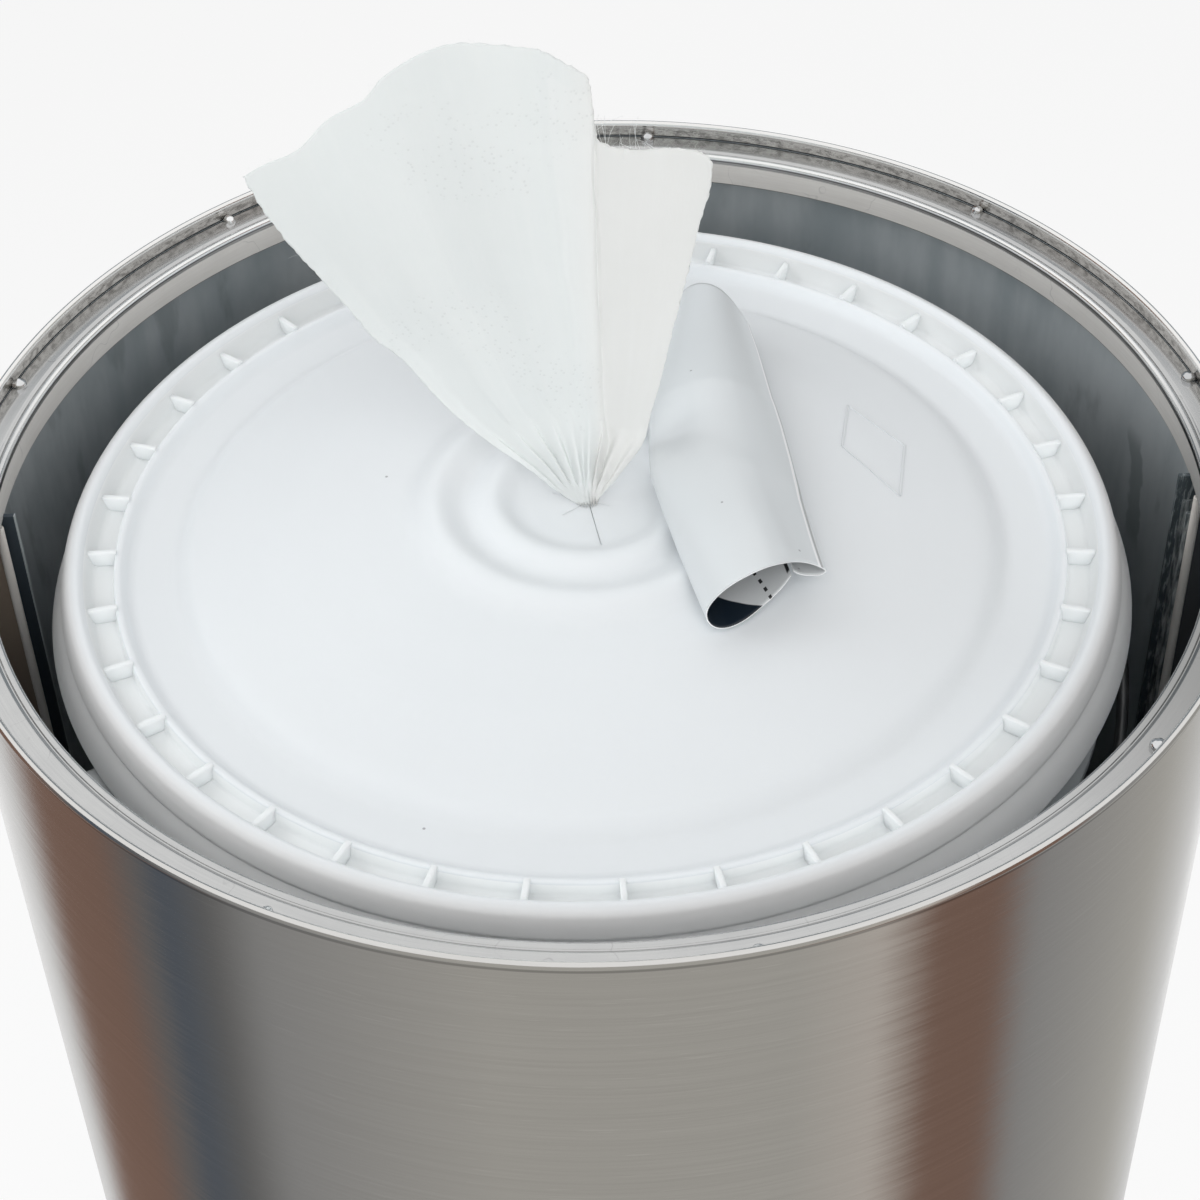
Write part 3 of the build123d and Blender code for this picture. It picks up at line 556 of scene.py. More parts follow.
# %% Steel finishes
def brushed_steel():
    """The brushed sheet. Over the ledge, at 0.9597 m, its inside carries a mottle painted as a
    reflection. Outside, a thin painted shadow lies under the bead, and the top edge at 0.965 m
    is a painted highlight, strongest at the back."""
    steel = Coating("brushed_steel", metallic=1.0, anisotropic=0.85, anisotropic_rotation=0.25)
    x, y, z = steel.parts(steel.place)
    lines = steel.noise((38, 38, 5200), detail=2.0)
    broad = steel.noise((9, 9, 900), detail=2.0, shift=(3, 1, 7))
    cloud = steel.noise((5, 5, 7), detail=3.0, shift=(1, 5, 2))
    marks = steel.between(steel.noise((70, 70, 1500), detail=1.0, shift=(8, 8, 8)), 0.68, 0.74)
    tone = steel.blend(lines * 0.5 + broad * 0.5, (0.56, 0.548, 0.530), (0.72, 0.708, 0.690))
    inner = steel.between(steel.distance(x, y), 0.1768, 0.1766)
    # A dark mottle on the strip inside, over the ledge: a painted reflection.
    painted_reflection_mottle = steel.between(steel.noise((330, 330, 800), detail=5.0, rough=0.7), 0.42, 0.62)
    back = steel.between(y, -0.10, 0.06)
    strip = steel.band(z, 0.9592, 0.9600, 0.9624, 0.9630) * inner
    joint = steel.band(z, 0.9603, 0.9600, 0.9597, 0.9594) * inner
    # A painted highlight along the top edge, stronger at the back.
    edge = steel.between(z, 0.9634, 0.9638)
    # A thin painted shadow under the bead, outside.
    below = steel.band(z, 0.9620, 0.9624, 0.9628, 0.9632) * (1 - inner)
    tone = steel.layered(tone,
                         (marks * 0.25, (0.80, 0.79, 0.77)),
                         (strip, (0.64, 0.625, 0.60)),
                         (strip * painted_reflection_mottle * 0.75, (0.22, 0.21, 0.20)),
                         (joint, (0.04, 0.045, 0.05)),
                         (below * 0.6, (0.24, 0.235, 0.23)),
                         (edge * (0.2 + back * 0.65), (0.90, 0.895, 0.88)))
    normal = steel.node("ShaderNodeNewGeometry").outputs["Normal"]
    aside = steel.arrow("CROSS_PRODUCT", normal, (0, 0, 1))
    amount = (lines - 0.5) * 0.045 + (broad - 0.5) * 0.03
    turned = steel.node("ShaderNodeVectorMath", {"operation": "SCALE"},
                        {0: aside, "Scale": amount}).outputs[0]
    turned = steel.arrow("NORMALIZE", steel.arrow("ADD", normal, turned))
    rough = 0.07 + broad * 0.04 + cloud * 0.04 + strip * 0.10
    return steel.wear(base_color=tone, roughness=rough,
                      normal=steel.raised(lines, 0.000010, turned))


def ledge_steel():
    """The ledge: a grey flat top with scratches that run round it, and a paler, duller lip.
    The lip begins at 0.957 m and ends at 0.950 m. Painted shade darkens the side away from the
    lamps, a groove line and a band under the inner corner, and the lip's lower edge. The inner
    corner carries a painted highlight at the back."""
    steel = Coating("ledge_steel", anisotropic=0.5, anisotropic_rotation=0.25)
    x, y, z = steel.parts(steel.place)
    radius = steel.distance(x, y)
    turn = steel.maths("ARCTAN2", y, x) * 0.17
    round_it = steel.node("ShaderNodeCombineXYZ", {}, {0: turn, 1: radius, 2: z}).outputs[0]
    lines = steel.noise((60, 2600, 1700), detail=3.0, on=round_it)
    blot = steel.noise(38, detail=5.0, rough=0.6, shift=(2, 9, 4))
    hair = steel.line(steel.noise(60, detail=2.0, shift=(7, 3, 1)) - 0.5, 0.007, 0.002)
    hair = hair * steel.between(blot, 0.48, 0.60)
    lip = steel.between(z, 0.9576, 0.9570)
    flat = steel.blend(blot * 0.6 + lines * 0.4, (0.45, 0.455, 0.46), (0.68, 0.68, 0.67))
    pale = steel.blend(blot * 0.5 + lines * 0.5, (0.66, 0.635, 0.60), (0.88, 0.865, 0.84))
    # Painted shade: a band under the rounded inner corner, and a dark groove line above it.
    under = steel.band(z, 0.9585, 0.9582, 0.9576, 0.9568)
    painted_groove_shade = steel.band(z, 0.9587, 0.9585, 0.9582, 0.9580)
    # A painted highlight on the rounded inner corner, at the back.
    bead = (steel.between(radius, 0.1684, 0.1681) * steel.between(z, 0.9586, 0.9589)
            * steel.between(y, -0.02, 0.07))
    # Painted shade on the right front, the side away from the lamps.
    aside = steel.between(x, 0.09, 0.16) * steel.between(y, 0.04, -0.03)
    tone = steel.layered(flat,
                         (lip, pale),
                         (hair * 0.22, (0.22, 0.22, 0.22)),
                         (under * 0.45, (0.22, 0.21, 0.205)),
                         (painted_groove_shade * 0.8, (0.10, 0.10, 0.105)),
                         (bead * 0.85, (0.95, 0.95, 0.94)),
                         (aside * 0.75, (0.24, 0.24, 0.235)),
                         # Painted shade along the lip's lower edge.
                         (steel.between(z, 0.9503, 0.9500), (0.10, 0.10, 0.10)))
    return steel.wear(base_color=tone, metallic=1 - lip * 0.45,
                      roughness=0.11 + blot * 0.10 + lip * 0.27,
                      normal=steel.raised(lines * 0.5 + blot * 0.5, 0.000012 + lip * 0.00002))


def mill_steel(name, dark, pale, rough=0.4, metallic=0.85, smear_size=(16, 16, 5)):
    """Steel inside the stand: left as it came from the mill, with faint smears."""
    steel = Coating(name, metallic=metallic)
    smear = steel.noise(smear_size, detail=4.0, rough=0.6)
    grain = steel.noise((260, 260, 120), detail=2.0, shift=(4, 4, 4))
    tone = steel.blend(steel.between(smear, 0.35, 0.7), dark, pale)
    return steel.wear(base_color=tone, roughness=rough + smear * 0.12 + grain * 0.05,
                      normal=steel.raised(grain, 0.00001))


def inner_wall():
    """The wall inside: dull grey, wiped and smeared, with one run of dirt at the right. The
    flanges fold in from a radius of 0.1757 m and are darker: the fixed one at the left is brown,
    the door's at the left is painted dark blue as the seam's shade and ends in a painted highlight
    line, and those at the right are dark, the door's with a crusty speckle."""
    wall = Coating("inner_wall", metallic=0.35)
    x, y, z = wall.parts(wall.place)
    radius = wall.distance(x, y)
    smear = wall.noise((17, 17, 9), detail=5.0, rough=0.62)
    drips = wall.noise((110, 110, 14), detail=3.0, shift=(5, 5, 0))
    shade = wall.between(smear * 0.75 + drips * 0.25, 0.36, 0.64)
    stain = wall.between(wall.noise((60, 60, 22), detail=4.0, shift=(9, 2, 6)), 0.60, 0.70)
    sway = y - 0.058 - (z - 0.9) * 0.12 + (wall.noise(90, detail=2.0) - 0.5) * 0.008
    run = (wall.line(sway, 0.0044, 0.0030) * wall.between(x, 0.1, 0.12)
           * wall.band(z, 0.878, 0.886, 0.914, 0.922))
    fold = wall.between(radius, 0.1758, 0.1756) * wall.between(y, 0.0055, 0.0045)
    fixed = wall.between(y, -0.0006, -0.0008)
    left = fold * wall.between(x, 0.01, -0.01)
    right = fold * wall.between(x, -0.01, 0.01)
    crust = wall.between(wall.noise((900, 900, 150), detail=5.0, rough=0.7), 0.50, 0.66)
    tone = wall.layered((0.385, 0.435, 0.46),
                        (shade, (0.575, 0.615, 0.635)),
                        (stain * 0.35, (0.14, 0.165, 0.18)),
                        (run * 0.45, (0.15, 0.19, 0.20)),
                        (left * fixed, (0.30, 0.235, 0.185)),
                        # Painted shade: the door flange at the left is dark blue in the seam.
                        (left * (1 - fixed), (0.045, 0.06, 0.075)),
                        # A painted highlight line along the end of the door flange at the left.
                        (left * wall.between(radius, 0.1634, 0.1632), (0.42, 0.46, 0.47)),
                        (right * fixed, (0.075, 0.078, 0.085)),
                        (right * (1 - fixed),
                         wall.blend(crust, (0.07, 0.09, 0.10), (0.34, 0.37, 0.38))))
    return wall.wear(base_color=tone, roughness=0.40 + smear * 0.15,
                     normal=wall.raised(drips * 0.6 + smear, 0.00006))


shell_finish = brushed_steel()
ledge_finish = ledge_steel()
wall_finish = inner_wall()
# The hems' pale cream tone, with little metal in it, is partly a painted highlight for the gleam a
# rolled edge catches.
hem_finish = mill_steel("hem_steel", (0.70, 0.665, 0.62), (0.90, 0.875, 0.84), 0.3, 0.2)
hinge_finish = mill_steel("hinge_steel", (0.10, 0.12, 0.125), (0.50, 0.53, 0.53), 0.25, 0.5,
                          (900, 900, 130))
inner_finish = mill_steel("inner_steel", (0.34, 0.345, 0.35), (0.50, 0.50, 0.50), 0.3)
weld_finish = mill_steel("weld_metal", (0.55, 0.56, 0.57), (0.92, 0.92, 0.92), 0.04, 1.0)
chrome_finish = mill_steel("lock_chrome", (0.62, 0.62, 0.63), (0.78, 0.78, 0.78), 0.08)
print("steel finishes ready")

# %% [markdown]
# ## The cylinder
# One rolled and welded sheet, whole at the rim and the plinth, with its back cut away for the
# door. Its top edge is a small bead. It is turned as one ring here. Then the doorway and the
# waste opening are cut out, and the folded flanges beside the door are added as their own
# strips with a rolled hem.

# %% Outer shell
WALL_OUT, WALL_IN, WALL_MID = 0.1776, 0.1762, 0.1769
WALL_INSIDE = WALL_IN + 0.0002
RIM_TOP = 0.965
BEAD = 0.0011
LEDGE_TOP, LEDGE_OUT, LEDGE_IN = 0.9597, 0.1761, 0.1662
DOOR_LOW, DOOR_HIGH = 0.040, 0.952
FLANGE_TOP, FLANGE_END = 0.9493, 0.1755
WASTE_MIDDLE = 0.566
CAM_NOTCH_TOP = 0.6230


def shell_outline():
    """The wall with its bead, from the foot up outside and down inside."""
    bead_middle = RIM_TOP - BEAD
    outline = [(WALL_IN, 0.004), (WALL_OUT, 0.004)]
    for step in range(25):
        turn = math.radians(-50 + 280 * step / 24)
        outline.append((WALL_MID + BEAD * math.cos(turn), bead_middle + BEAD * math.sin(turn)))
    return outline + [(WALL_IN, LEDGE_TOP)]


def waste_outline(grow):
    """The waste opening's rounded rectangle, as (x, z)."""
    half_width, half_height, corner = (size + grow for size in (0.113, 0.062, 0.034))
    points = []
    for quarter, (sx, sz) in enumerate(((1, 1), (-1, 1), (-1, -1), (1, -1))):
        for step in range(13):
            x, z = polar(corner, 90 * quarter + 90 * step / 12)
            points.append((sx * (half_width - corner) + x,
                           WASTE_MIDDLE + sz * (half_height - corner) + z))
    return points


def fixed_flange(side, seam):
    """The edge of the sheet beside the door, folded inwards and rolled over at its end."""
    y = -(seam + SHEET / 2)
    strip = folded("strip", [(side * 0.1665, y), (side * WALL_MID, y)], DOOR_LOW, FLANGE_TOP)
    hem = spun("hem", softened([(0, DOOR_LOW, 0), (0.0013, DOOR_LOW, 0.0003),
                                (0.0013, FLANGE_TOP, 0.0003), (0, FLANGE_TOP, 0)]), 24,
               (side * 0.1670, -(seam + 0.0013)))
    return strip, hem


doorway = block((-0.19, -0.0010, DOOR_LOW), (0.19, 0.19, DOOR_HIGH))
hinge_room = block((0.10, -0.0032, DOOR_LOW), (0.19, 0.01, DOOR_HIGH))
ring = cut(spun("ring", shell_outline(), 480), doorway, hinge_room,
           pushed(waste_outline(0), -0.19, -0.10))
notched = [cut(piece, block((-0.1740, -0.0046, 0.604), (-0.153, 0.0, CAM_NOTCH_TOP)))
           for piece in fixed_flange(-1, 0.0010)]
shell = joined("shell", ring, *fixed_flange(1, 0.0032), *notched)
hand_over(shell, "stand", "brushed_shell", shell_finish, "outer_shell")
shell.data.materials.append(wall_finish.material)
shell.data.materials.append(hem_finish.material)
for face in shell.data.polygons:
    middle = Vector(face.center[:2])
    inwards = middle.dot(Vector(face.normal[:2])) < -0.5 * middle.length
    if middle.length < FLANGE_END:
        face.material_index = 2 if middle.length < 0.1684 else 1
    elif middle.length < WALL_INSIDE and inwards and face.center.z < LEDGE_TOP:
        face.material_index = 1

# %% [markdown]
# ## The ledge inside the rim
# A turned ring with a flat top and a lip that hangs down. It is tacked to the wall with nine
# small welds. The bright line on its rounded corner comes from the radius, with a painted
# highlight laid over it at the back.

# %% Top ring and welds
WELD_ANGLES = (11.8, 45.7, 83.4, 130.7, 163.6, 203.0, 243.0, 281.0, 320.6)
ledge = spun("ledge", softened([
    (LEDGE_OUT, LEDGE_TOP, 0.0003), (LEDGE_OUT, LEDGE_TOP - 0.0012, 0),
    (LEDGE_IN + 0.0012, LEDGE_TOP - 0.0012, 0.0008), (LEDGE_IN + 0.0012, 0.9498, 0.0003),
    (LEDGE_IN, 0.9498, 0.0004), (LEDGE_IN, LEDGE_TOP + 0.0001, 0.0013),
    (LEDGE_IN + 0.0019, LEDGE_TOP + 0.0001, 0.0006),
    (LEDGE_IN + 0.0024, LEDGE_TOP - 0.0005, 0.0003),
    (LEDGE_IN + 0.0029, LEDGE_TOP - 0.0003, 0.0002), (LEDGE_IN + 0.0033, LEDGE_TOP, 0.0004)],
    steps=6), 480)
hand_over(ledge, "stand", "ring_steel", ledge_finish, "top_ring")


def weld_beads():
    """Blobs of slightly different size, one on each place."""
    welds = Recipe("welds", weld_finish, Size=0.0022, Seed=4)
    places = bpy.data.meshes.new("weld_places")
    spots = [polar(LEDGE_OUT - 0.0018, angle) for angle in WELD_ANGLES]
    places.from_pydata([(x, y, LEDGE_TOP + 0.0002) for x, y in spots], [], [])
    drop = welds.node("GeometryNodeMeshUVSphere", {}, {
        "Segments": 20, "Rings": 12, "Radius": welds.given["Size"]})[0]
    lumps = welds.node("ShaderNodeTexNoise", {}, {"Scale": 700.0, "Detail": 2.0})[0]
    lift = welds.sum("MULTIPLY", welds.sum("SUBTRACT", lumps, 0.5), 0.0009)
    normal = welds.node("GeometryNodeInputNormal")[0]
    offset = welds.node("ShaderNodeVectorMath", {"operation": "SCALE"},
                        {0: normal, "Scale": lift})[0]
    blob = welds.node("GeometryNodeSetPosition", {}, {"Geometry": drop, "Offset": offset})[0]
    copies = welds.copies(welds.given["Base"], blob, Scale=welds.chance("FLOAT", 0.82, 1.05),
                          Rotation=welds.chance("FLOAT_VECTOR", (0, 0, 0), (0.4, 0.4, 6.2)))
    return welds.grow("weld_beads", copies, places, crease=180)


hand_over(weld_beads(), "stand", "ring_steel", weld_finish, "tack_welds")

# %% [markdown]
# ## The rear door
# Half a cylinder, folded inwards along all four edges for stiffness. The plan path runs from one
# flange round a small bend, along the curved back and into the other flange.

# %% Rear door and its small steel parts
def door_path():
    """The door's plan, from the lock side round the back to the hinge side."""
    start = math.degrees(math.asin(0.0044 / WALL_MID))
    end = math.degrees(math.asin(0.0022 / WALL_MID))
    bend_right = [(0.1630, 0.0039), (0.1752, 0.0039), (0.1764, 0.0041), (0.1768, 0.0051)]
    bend_left = [(-0.1768, 0.0029), (-0.1764, 0.0019), (-0.1752, 0.0017), (-0.1630, 0.0017)]
    return bend_right + arc(WALL_MID, start + 0.4, 180 - end - 0.4, 240) + bend_left


skin = folded("skin", door_path(), 0.0415, 0.9505)
returns = [folded("return", arc(0.1724, 1.6, 178.9, 180), low, low + SHEET, 0.0080)
           for low in (0.0415, 0.9491)]
door = joined("door", skin, *returns)
cut(door, block((-0.1740, 0.0, 0.6015), (-0.153, 0.0034, CAM_NOTCH_TOP)))
hand_over(door, "door", "brushed_shell", shell_finish, "rear_door")
door.data.materials.append(wall_finish.material)
for face in door.data.polygons:
    middle = Vector(face.center[:2])
    if middle.length < WALL_INSIDE and middle.dot(Vector(face.normal[:2])) < 0.5 * middle.length:
        face.material_index = 1

for node, body, finish, ease in (
        ("hinge_leaf_fixed", "stand", hinge_finish, 0.0002),
        ("hinge_leaf_door", "door", hinge_finish, 0.0002),
        ("hinge_pin", "stand", chrome_finish, 0.0),
        ("hinge_rivets_fixed", "stand", chrome_finish, 0.0),
        ("hinge_rivets_door", "door", chrome_finish, 0.0),
        ("lock_barrel", "door", chrome_finish, 0.0002),
        ("lock_nut", "door", chrome_finish, 0.0002),
        ("lock_plug", "lock", chrome_finish, 0.0001),
        ("hook_cam", "lock", inner_finish, 0.0002),
        ("cam_screw", "lock", chrome_finish, 0.0001),
        ("base_pan", "stand", inner_finish, 0.0),
        ("shelf_tray", "stand", inner_finish, 0.0003),
        ("shelf_brackets", "stand", inner_finish, 0.0003),
        ("shelf_bolts", "stand", chrome_finish, 0.0),
        ("shelf_nuts", "stand", chrome_finish, 0.0002)):
    slot = "lock_chrome" if finish is chrome_finish else "inner_steel"
    hand_over(refined(node, ease), body, slot, finish, node)

# %% [markdown]
# ## Rubber and the waste bin
# A rubber channel is pressed over the raw edge of the waste opening and under the cylinder. The
# bin below is black plastic with a fine moulded grain.

# %% Rubber parts and bin
DIRT = (0.25, 0.25, 0.27)
PAIL_MIDDLE = (-0.0025, 0.0)


def moulded(name, dark, pale, rough, grain_size=1500, depth=0.00002, specks=(),
             crest=None, **fixed):
    """Plastic or rubber: a soft colour drift, a fine grain, and any single specks of dirt.
    The crest tone is painted light on the lid's outer roll and skirt, paler than the rest,
    standing in for the light that shines through the plastic."""
    plastic = Coating(name, **fixed)
    drift = plastic.noise(9, detail=3.0)
    grain = plastic.noise(grain_size, detail=2.0, shift=(3, 3, 3))
    dust = plastic.between(plastic.noise(60, detail=5.0, shift=(7, 1, 2)), 0.6, 0.75)
    tone = plastic.blend(drift, dark, pale)
    dirt = [(plastic.spot(x, y, 0.0005) * 0.7, DIRT) for x, y in specks]
    tone = plastic.layered(tone, *dirt)
    # Painted light: the outer roll and skirt are paler than the rest of the lid.
    if crest:
        x, y, z = plastic.parts(plastic.place)
        out = plastic.distance(x - PAIL_MIDDLE[0], y - PAIL_MIDDLE[1])
        tone = plastic.blend(plastic.between(out, 0.1425, 0.1470), tone, crest)
    return plastic.wear(base_color=tone,
                        roughness=rough + drift * 0.06 + dust * 0.05,
                        normal=plastic.raised(grain, depth))


rubber_finish = moulded("floor_rubber", (0.016, 0.016, 0.017), (0.030, 0.030, 0.031), 0.55)
bin_finish = moulded("bin_plastic", (0.018, 0.019, 0.021), (0.032, 0.033, 0.036), 0.38)

foot_ring = spun("foot_ring", softened([
    (0.1793, 0.0, 0.0012), (0.1793, 0.014, 0.0012), (0.1777, 0.014, 0.0003),
    (0.1777, 0.004, 0), (0.1761, 0.004, 0), (0.1761, 0.010, 0.0003), (0.1729, 0.010, 0.0010),
    (0.1729, 0.0, 0.0006)]), 240)
hand_over(foot_ring, "stand", "floor_rubber", rubber_finish, "floor_ring")


def stepped(points, longest=0.006):
    """The outline with its long straight runs cut into short steps, so they can follow a curve."""
    filled = []
    for one, other in zip(points, points[1:] + points[:1]):
        one, other = Vector(one), Vector(other)
        count = max(1, round((other - one).length / longest))
        filled += [one.lerp(other, step / count)[:] for step in range(count)]
    return filled


def edging():
    """The channel follows the opening's outline on the curved wall."""
    section = softened([(-0.002, -0.0034, 0.0014), (0.0070, -0.0034, 0.0012),
                        (0.0070, 0.0020, 0.0012), (-0.002, 0.0020, 0.0014)], steps=3)
    shape = bmesh.new()
    rings = []
    inner, outer = stepped(waste_outline(0)), stepped(waste_outline(0.001))
    for (x, z), (x_out, z_out) in zip(inner, outer):
        ring_points = []
        for away, lift in section:
            px = x + (x_out - x) * away / 0.001
            pz = z + (z_out - z) * away / 0.001
            turn = math.asin(px / WALL_OUT)
            radius = WALL_OUT + lift
            ring_points.append(shape.verts.new((radius * math.sin(turn),
                                                -radius * math.cos(turn), pz)))
        rings.append(ring_points)
    for one, other in zip(rings, rings[1:] + rings[:1]):
        ribbon(shape, one, other)
    return built("edging", shape, 60)


hand_over(edging(), "stand", "floor_rubber", rubber_finish, "waste_edging")
hand_over(refined("waste_bin", 0.0004), "bin", "bin_plastic", bin_finish, "waste_bin")

# %% [markdown]
# ## The pail and its bail
# White polyethylene, drawn in under a moulded band, with two ears for the wire bail. Only a strip
# of it shows in the gap under the lid, and the whole of it when it is lifted out.

# %% Pail, bail and gasket
pail_finish = moulded("pail_white", (0.70, 0.715, 0.725), (0.76, 0.775, 0.785), 0.34,
                      grain_size=700, depth=0.00003)
wire_finish = mill_steel("bail_wire", (0.12, 0.122, 0.125), (0.22, 0.22, 0.22), 0.35)
foam_finish = moulded("gasket_foam", (0.55, 0.55, 0.54), (0.66, 0.66, 0.65), 0.8,
                      grain_size=2500, depth=0.0001)
hand_over(refined("wipes_pail", 0.0004), "pail", "pail_white", pail_finish, "wipes_pail")
hand_over(refined("lid_gasket"), "pail", "gasket_foam", foam_finish, "lid_gasket")
hand_over(refined("bail"), "pail_bail", "inner_steel", wire_finish, "bail")
hand_over(refined("bail_grip", 0.0006), "pail_bail", "pail_white", pail_finish, "bail_grip")

# %% [markdown]
# ## The roll of wipes
# The wipes are wound into a coreless roll and drawn from its middle. Its top shows the edges of
# the layers as fine rings that never run quite true, so their radius wanders with a slow noise.

# %% Roll
def roll_finish():
    cloth = Coating("roll_cloth", roughness=0.9)
    wander = cloth.noise(26, detail=3.0)
    x, y, z = cloth.parts(cloth.arrow("SUBTRACT", cloth.place, (*PAIL_MIDDLE, 0)))
    radius = cloth.distance(x, y)
    layer = cloth.maths("SINE", (radius + wander * 0.003) * 4200)
    fibre = cloth.noise((900, 900, 300), detail=3.0)
    tone = cloth.blend(layer * 0.25 + fibre * 0.6, (0.62, 0.63, 0.63), (0.80, 0.81, 0.80))
    return cloth.wear(base_color=tone, normal=cloth.raised(layer * 0.5 + fibre, 0.00025))


def roll_outline():
    """The roll's section, its top edges pulled into small steps by the winding."""
    low, high, hollow, out, steps = 0.674, 0.874, 0.032, 0.118, 60
    outline = [(hollow, low), (out, low)]
    for step in range(steps + 1):
        radius = out - (out - hollow) * step / steps
        dip = 0.0008 * math.sin(step * 1.9) + 0.0009 * math.sin(step * 0.37 + 1)
        outline.append((radius, high - 0.002 + dip))
    return outline


roll = spun("roll", roll_outline(), 180, PAIL_MIDDLE)
hand_over(roll, "pail", "wipe_cloth", roll_finish(), "wipes_roll")

# %% [markdown]
# ## The lid
# A press-on lid is moulded in one piece: a skirt, a rolled rim with a ribbed channel behind it,
# a flat gutter, a step and a low crown. Round the valve stand two soft waves that let the middle
# flex. The top is one outline that is turned, and its height over the crown is a chain of easy
# curves through the places that were measured.

# %% Lid
CREST = 0.9455
LID_WALL = 0.0016
CROWN = ((0.0, 5.2), (3.0, 5.1), (12.0, 5.4), (19.0, 6.0), (27.0, 9.2), (34.5, 6.2),
         (43.0, 9.4), (52.0, 5.6), (66.0, 4.6), (84.0, 2.6), (100.0, -0.4), (109.5, -2.4),
         (111.8, -3.4), (116.6, -7.2), (119.0, -6.8))

RIM = ((0.1200, -0.0068, 0), (0.1289, -0.0068, 0.0022), (0.1313, -0.0038, 0.0009),
       (0.1330, -0.0037, 0.0008), (0.1333, -0.0080, 0.0009), (0.1393, -0.0078, 0.0012),
       (0.1410, -0.0010, 0.0012), (0.1430, 0.0008, 0.0022), (0.1466, -0.0016, 0.0030),
       (0.1481, -0.0072, 0.0010), (0.1475, -0.0079, 0.0004), (0.1498, -0.0120, 0.0020),
       (0.1521, -0.0175, 0.0005), (0.1507, -0.0175, 0.0004), (0.1465, -0.0092, 0.0006),
       (0.1463, -0.0018, 0.0008), (0.1417, -0.0018, 0.0005), (0.1401, -0.0111, 0.0008),
       (0.1314, -0.0111, 0.0008), (0.1289, -0.0084, 0.0010), (0.1170, -0.0084, 0))


def crown_height(radius):
    """Height of the lid's crown over its rim crest, in metres, at a radius in metres."""
    r = radius / MM
    for (r0, h0), (r1, h1) in zip(CROWN, CROWN[1:]):
        if r <= r1:
            t = (r - r0) / (r1 - r0)
            slope = t if r0 >= 52 and r1 <= 111.8 else t * t * (3 - 2 * t)
            return (h0 + (h1 - h0) * slope) * MM
    return CROWN[-1][1] * MM


def eased_crown(radius):
    """The crown with its joints blended over 4 mm."""
    shifts = (-2, -1, 0, 1, 2)
    return sum(crown_height(abs(radius + shift * 0.9 * MM)) for shift in shifts) / len(shifts)


def lid_outline():
    """From the middle over the crown, round the rim and back under it, LID_WALL below."""
    top = [(0.0, CREST + eased_crown(0.0))]
    radius = 0.0
    while radius < 0.1190:
        radius += 0.0011
        top.append((radius, CREST + eased_crown(radius)))
    rim = softened([(r, CREST + height, ease) for r, height, ease in RIM], steps=5, closed=False)
    under = [(r, z - LID_WALL) for r, z in top[::-3] if r < 0.1150]
    if under[-1][0] > 0:
        under.append((0.0, CREST + eased_crown(0.0) - LID_WALL))
    return top[:-1] + rim + under


lid = spun("lid", lid_outline(), 432, PAIL_MIDDLE, crease=60)


def slit_cutters():
    """Six thin blades for the star of slits in the valve."""
    blades = []
    for index, length in enumerate((0.0095, 0.0110, 0.0095, 0.0205, 0.0062, 0.0062)):
        half = 0.00009 if index == 3 else 0.00005
        blade = block((0.0008, -half, CREST), (length, half, CREST + 0.02))
        turn = Matrix.Rotation(math.radians(99 + 60 * index), 4, "Z")
        blade.data.transform(Matrix.Translation((*PAIL_MIDDLE, 0)) @ turn)
        blades.append(blade)
    return blades


cut(lid, *slit_cutters())
crisp(lid.data, 60)


def milky(name, dark, pale, rough, depth, through, reach, **more):
    """Plastic that lets some light through, and how far it reaches."""
    return moulded(name, dark, pale, rough, 500, depth, subsurface_weight=through,
                   subsurface_scale=reach, subsurface_radius=(1.0, 1.0, 1.0), **more)


# The crest colour below is painted light on the outer roll and skirt.
lid_finish = milky("lid_white", (0.775, 0.808, 0.832), (0.81, 0.84, 0.862), 0.36, 0.000025,
                   0.30, 0.004, specks=((-0.0595, 0.0135), (-0.0457, -0.1106)),
                   crest=(0.945, 0.94, 0.935))
# The channel's paler white is painted light that lifts the shade in the channel.
channel_painted_light = milky("channel_white", (0.885, 0.912, 0.918), (0.905, 0.928, 0.932), 0.42,
                       0.000015, 0.45, 0.006)
# The ribs' tone, between the lid's and the channel's, is painted to even out their light and
# shade.
rib_painted_tone = milky("rib_white", (0.83, 0.862, 0.875), (0.85, 0.88, 0.89), 0.5,
                   0.000015, 0.45, 0.006)
hand_over(lid, "lid", "pail_white", lid_finish, "pail_lid")
lid.data.materials.append(channel_painted_light.material)
for face in lid.data.polygons:
    radius = (Vector(face.center[:2]) - Vector(PAIL_MIDDLE)).length
    height = face.center.z - CREST
    if 0.1331 < radius < 0.1410 and -0.0083 < height < -0.0012 and face.normal.z > -0.1:
        face.material_index = 1


# %% [markdown]
# ### Ribs in the channel
# Thirty-six thin ribs stiffen the channel. Each is a short bar with a slightly rounded top. The
# recipe puts a point on a circle for each rib, turns a bar to face the middle, and repeats it.

